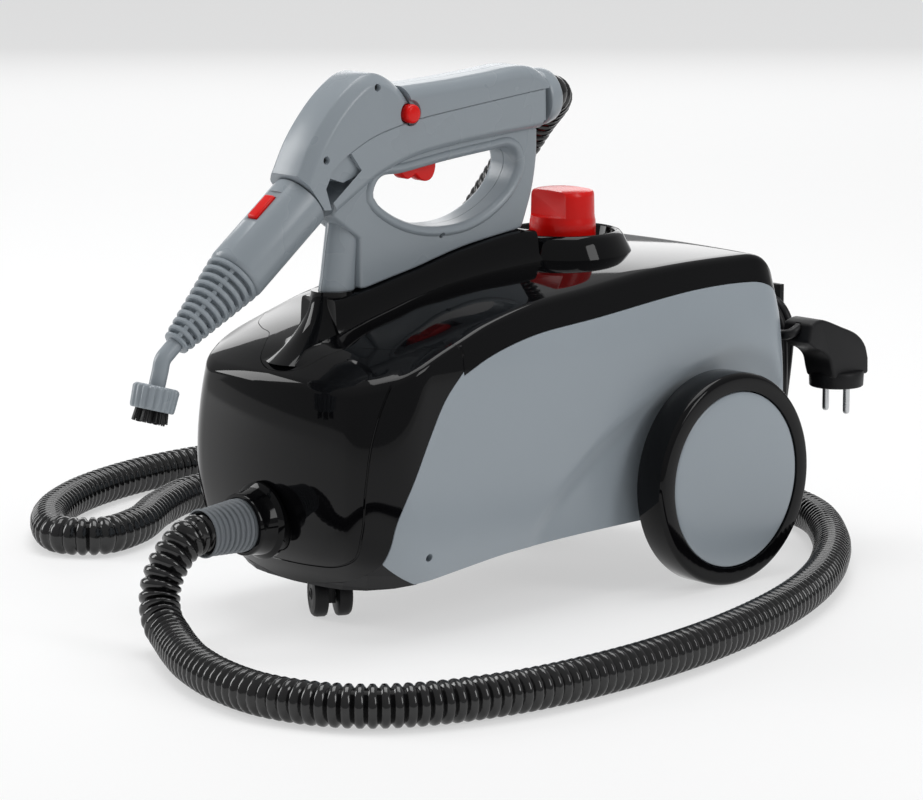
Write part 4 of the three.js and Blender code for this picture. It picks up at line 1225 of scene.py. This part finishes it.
def gun():
    crown = curve(
        [(-90, 341), (-38, 342.8), (-2, 345), (30, 347.4), (43, 346), (49.6, 342), (53.4, 335.4)], 48,
    )
    back = lofted("gun back", [grip_section(y, z) for y, z in crown])
    hump_line = curve([
        (-172, 277), (-164, 291), (-153, 311), (-138, 329.5), (-124, 342), (-109, 350.6), (-98, 351.6),
        (-87, 347.4), (-76, 339), (-66, 328),
    ], 60)
    cap = sculpted_plate("hump", hump_line + [(-60, 240), (-172, 240)], HUMP_SIDE)
    keep = [(-163.5, 290), (-146.5, 268.2), (-141, 268), (-145.6, 281.8)] + raised(seam_line[4:46], 0.4)
    solid(cap, slab("cap keep", keep + [(-60, 400), (-200, 400)], -40, 40), "INTERSECT")
    lower = [(-72, 322), (-103, 316), (-134, 302), (-140, 288), (-128, 284), (-104, 291), (-72, 300)]
    weld(cap, slab("cap lower", lower, -15.5, 15.5))
    behind = [(-71, 280), (-71, 331), (-76.4, 344), (-76.4, 400), (100, 400), (100, 280)]
    cut(cap, slab("behind", behind, -60, 60))
    ahead = [(-70.4, 280), (-70.4, 331), (-75.8, 344), (-75.8, 400), (-200, 400), (-200, 280)]
    cut(back, slab("ahead", ahead, -60, 60))
    cut(cap, rod("barrel room", 20.1, 7.8, 90, on_barrel(0), BARREL_AXIS, 64))
    screw_well = [[0, 10], [2.2, 10], [2.2, 18], [3, 19.6], [3, 30], [0, 30]]
    for y, z in CAP_SCREWS:
        cut(cap, turned("well", screw_well, (0, y, z), (1, 0, 0), 32))
    dish = [[0, -30], [6.6, -30], [6.6, 15.6], [8, 16], [9.2, 18.6], [9.2, 30], [0, 30]]
    for obj in (back, cap):
        cut(obj, turned("dish", dish, BUTTON, (1, 0, 0), 48))
        cut(obj, block("trigger room", -5.4, 5.4, -84, -28, 285, 318))
    cut(back, rod("collar seat", 12.4, -12, 30, HOSE_SEAT, HOSE_SEAT_DIR, 48))
    done(cap, GUN_GREY, "gun", "gun_front_cap", angle=30)
    for name, s in SIDES:
        done(half_of(back, "gun_" + name, s), GUN_GREY, "gun", "gun_shell_" + name, angle=30)
    bpy.data.objects.remove(back, do_unlink=True)
    for i, (y, z) in enumerate(CAP_SCREWS):
        screw_head(f"cap_screw_{i + 1}", (14.6, y, z), (1, 0, 0), 2.15, "gun")
    collar = [
        [9, -8], [12, -8], [12, 7], [18.2, 7.3], [19, 7.7], [19.4, 8.6], [19.5, 10], [19.2, 14],
        [18.5, 17.4], [18, 18.4], [17, 19], [15.6, 19], [15.2, 18.6], [15.2, 11], [9, 10], [9, -8],
    ]
    done(turned("collar", collar, HOSE_SEAT, HOSE_SEAT_DIR, 80), GUN_GREY, "gun", "gun_hose_collar")
    done(turned("lock", [
        [0, -17], [5, -17], [5, 14], [6, 14], [6.2, 14.3], [6.2, 20], [6, 21], [5.4, 21.9], [4.4, 22.3],
        [0, 22.5],
    ], BUTTON, (1, 0, 0), 48), RED, "lock_button", "lock_button")


def trigger():
    front = [
        (-70, 290), (-66.6, 282.6), (-62, 279.4), (-57.4, 280.6), (-55, 282), (-52, 279.4),
        (-47, 276.8), (-41.4, 277.6), (-38, 282), (-37, 290),
    ]
    shape = curve([(-76, 302)] + front + [(-40, 300)], 70) + [(-62, 302), (-68, 312), (-74, 312)]
    done(pillow("trigger_piece", shape, 5, 1.8, 4, 40), RED, "trigger", "trigger")


gun()
trigger()


# ---------- nozzle and brush ----------

def turned_like_barrel(obj, d, lift):
    """Stand a block made about the origin on the barrel."""
    obj.matrix_world = Matrix.Translation(at(*on_barrel(d, lift))) @ Matrix((
        (1, 0, 0), (0, -BARREL_AXIS.y, BARREL_UP.y), (0, -BARREL_AXIS.z, BARREL_UP.z),
    )).to_4x4()
    take(obj)
    bpy.ops.object.transform_apply(location=True, rotation=True, scale=True)
    return obj


def nozzle():
    barrel = turned("barrel", [
        [8.5, 8.2], [18.9, 8.2], [19.5, 8.8], [19.5, 75.2], [19.2, 76.4], [17.4, 78.7], [16.8, 79],
        [8.5, 79], [8.5, 8.2],
    ], on_barrel(0), BARREL_AXIS, 128)
    cut(barrel, turned_like_barrel(plain_block("flat", 15, 27, 10), 33, 23.4))
    cut(barrel, turned_like_barrel(plain_block("pocket", 9.4, 20.9, 14), 34, 18.8))
    round_edges(barrel, 0.35, 2, 45)
    done(barrel, GUN_GREY, "nozzle", "nozzle_barrel", angle=30)
    button = turned_like_barrel(plain_block("button", 8.6, 20, 6), 34, 17.6)
    round_edges(button, 1.3, 5, 50)
    done(button, RED, "nozzle_release", "nozzle_release_button")
    profile = [[3.6, 79.4]]
    for i in range(10):
        d = 79.4 + 5.76 * i
        r = 18.8 - 9.8 * (d - 79.4) / 57.6
        core = max(5.4, r - 5)
        profile += [
            [r - 0.7, d], [r, d + 0.6], [r - 0.1, d + 2.3], [r - 0.8, d + 3], [core, d + 3],
            [core, d + 5.7],
        ]
    profile += [[8.4, 136.9], [8.8, 137.3], [8.6, 138.6], [8, 139], [3.6, 139], [3.6, 79.4]]
    cage = turned("cage", profile, on_barrel(0), BARREL_AXIS, 80)
    for i in range(4):
        a = math.pi / 4 + math.pi / 2 * i
        side = Vector((math.cos(a), 0, 0)) + BARREL_UP * math.sin(a)
        low = Vector(on_barrel(80)) + side * 15.6
        high = Vector(on_barrel(138)) + side * 6.4
        weld(cage, swept("rib", [at(*low), at(*low.lerp(high, 0.5)), at(*high)], 0.0017, 16))
    done(cage, GUN_GREY, "nozzle", "nozzle_cage", angle=35)


TIP_DIR = Vector((0, -0.3, -1)).normalized()
RING_TOP = Vector((0, -270.3, 168.2))


def on_tip(h):
    return tuple(RING_TOP + TIP_DIR * h)


# Radius, height and flute depth of each ring of the brush's grip.
BRUSH_RINGS = [
    (12.6, 0, 0.2), (13.2, 0.2, 0.6), (14.4, 1.2, 1.1), (14.8, 2.2, 1.2), (14.2, 13.8, 1.2),
    (13.8, 15, 0.8), (13.2, 15.5, 0.3),
]
GOLDEN_ANGLE = 2.39996


def brush():
    bend = [on_barrel(139.4), on_barrel(146), (0, -265.4, 184), (0, -267.6, 177), on_tip(2), on_tip(8.4)]
    path = smooth_line([at(*p) for p in bend], 40)[0]
    done(swept("tip", path, 0.0053, 32), GUN_GREY, "nozzle", "nozzle_tip_tube", angle=60)
    teeth, sides = 18, 216
    rings = []
    turn = Vector((0, 0, 1)).rotation_difference(TIP_DIR)
    for r, h, deep in BRUSH_RINGS:
        ring = []
        for i in range(sides):
            a = 2 * math.pi * i / sides
            rr = r - deep * (0.5 + 0.5 * math.cos(teeth * a)) ** 2
            p = turn @ Vector((rr * math.cos(a), rr * math.sin(a), h)) + RING_TOP
            ring.append(at(*p))
        rings.append(ring)
    skin = lofted("brush_grip", rings)
    bore = [[0, -1], [5.5, -1], [5.5, 9], [11.6, 9], [11.6, 17], [0, 17]]
    cut(skin, turned("brush bore", bore, tuple(RING_TOP), TIP_DIR, 64))
    done(skin, GUN_GREY, "brush", "brush_ring", angle=40)
    base = rod("bristle_base", 11.2, 9.4, 12, tuple(RING_TOP), TIP_DIR, 48)
    strands = [base]
    for i in range(7):
        a = math.pi / 3 * i
        for k in range(12):
            b = GOLDEN_ANGLE * k
            inner = 0 if i == 6 else 7.4
            spread = 0.78 * math.sqrt(k + 0.4)
            x, y = inner * math.cos(a) + spread * math.cos(b), inner * math.sin(a) + spread * math.sin(b)
            low = turn @ Vector((x, y, 11)) + RING_TOP
            high = turn @ Vector((x * 1.14, y * 1.14, 23.2 + 0.7 * math.sin(5 * k + i))) + RING_TOP
            strands.append(swept("strand", [at(*low), at(*low.lerp(high, 0.5)), at(*high)], 0.00058, 6))
    nothing_selected()
    for strand in strands:
        strand.select_set(True)
    bpy.context.view_layer.objects.active = base
    bpy.ops.object.join()
    done(base, BRISTLE, "brush", "brush_bristles", angle=40)


nozzle()
brush()


# ---------- rear fittings and plug ----------

PLUG_X, PLUG_Y = 88.0, 267.0
PIN_REACH = 9.5


def plug():
    side = [(223, 150), (226, 162)]
    side += curve([(231, 163.6), (237, 164.3), (258, 157), (275, 149.6), (283, 141.6), (286.3, 132)], 24)
    side += [(286.5, 121)] + curve([(250, 121), (247.6, 128), (245, 136), (239, 141.4), (231, 145)], 16)
    head = slab("plug_head", side, PLUG_X - 13, PLUG_X + 13)
    round_edges(head, 4, 6, 40)
    base = [
        [0, 113.5], [18.2, 113.5], [18.8, 114.1], [19, 118], [19.2, 122.4], [18.6, 123.8],
        [17.6, 124.4], [0, 124.4],
    ]
    weld(head, turned("base", base, (PLUG_X, PLUG_Y, 0), (0, 0, 1), 80))
    entry = [[0, 0], [4.6, 0], [3.9, 15], [0, 15]]
    cut(head, turned("cord entry", entry, (PLUG_X, 215, 153), (0, 14, 6.4), 32))
    for s in (-1, 1):
        cut(head, rod("pin hole", 2.7, 110, 122, (PLUG_X + s * PIN_REACH, PLUG_Y, 0), (0, 0, 1), 32))
    done(head, MATT, "chassis", "mains_plug", angle=32)
    pieces = [head]
    for name, s in SIDES:
        pin = [[0, 94.5], [0.9, 94.5], [1.8, 94.9], [2.3, 96], [2.4, 97], [2.4, 121.6], [0, 121.6]]
        pin = turned("pin_" + name, pin, (PLUG_X + s * PIN_REACH, PLUG_Y, 0), (0, 0, 1), 40)
        pieces.append(done(pin, STEEL, "chassis", "plug_pin_" + name))
    return pieces


plug_pieces = plug()


# ---------- caster and small fittings ----------

CASTER = Vector((0, -129, 0))
ACROSS = Vector((0.5, 0.8660254, 0))


def caster_wheels():
    hub = CASTER + Vector((0.8660254, -0.5, 0)) * 6 + Vector((0, 0, 15))
    profile = [
        [2.4, 3.3], [13.2, 3.3], [14.4, 3.7], [15, 4.8], [15, 9.6], [14.6, 11.2], [13.4, 12.5],
        [9.4, 13.2], [8.8, 12.8], [4, 12.8], [3.6, 13.4], [2.4, 13.4], [2.4, 3.3],
    ]
    for name, s in SIDES:
        wheel = turned("caster_" + name, profile, tuple(hub), ACROSS * s, 72)
        done(wheel, MATT, "caster_wheel_" + name, "caster_wheel_" + name)


caster_wheels()
refined("caster_yoke", MATT, "caster", 0.5)
refined("cord_hook_upper", MATT, "chassis", 1.2, 4)
refined("cord_hook_lower", MATT, "chassis", 1.2, 4)
refined("strain_relief", MATT, "chassis", 0.4)
refined("rocker_switch", MATT, "chassis", 0.4)
refined("rocker_key", RED, "rocker", 0.4)
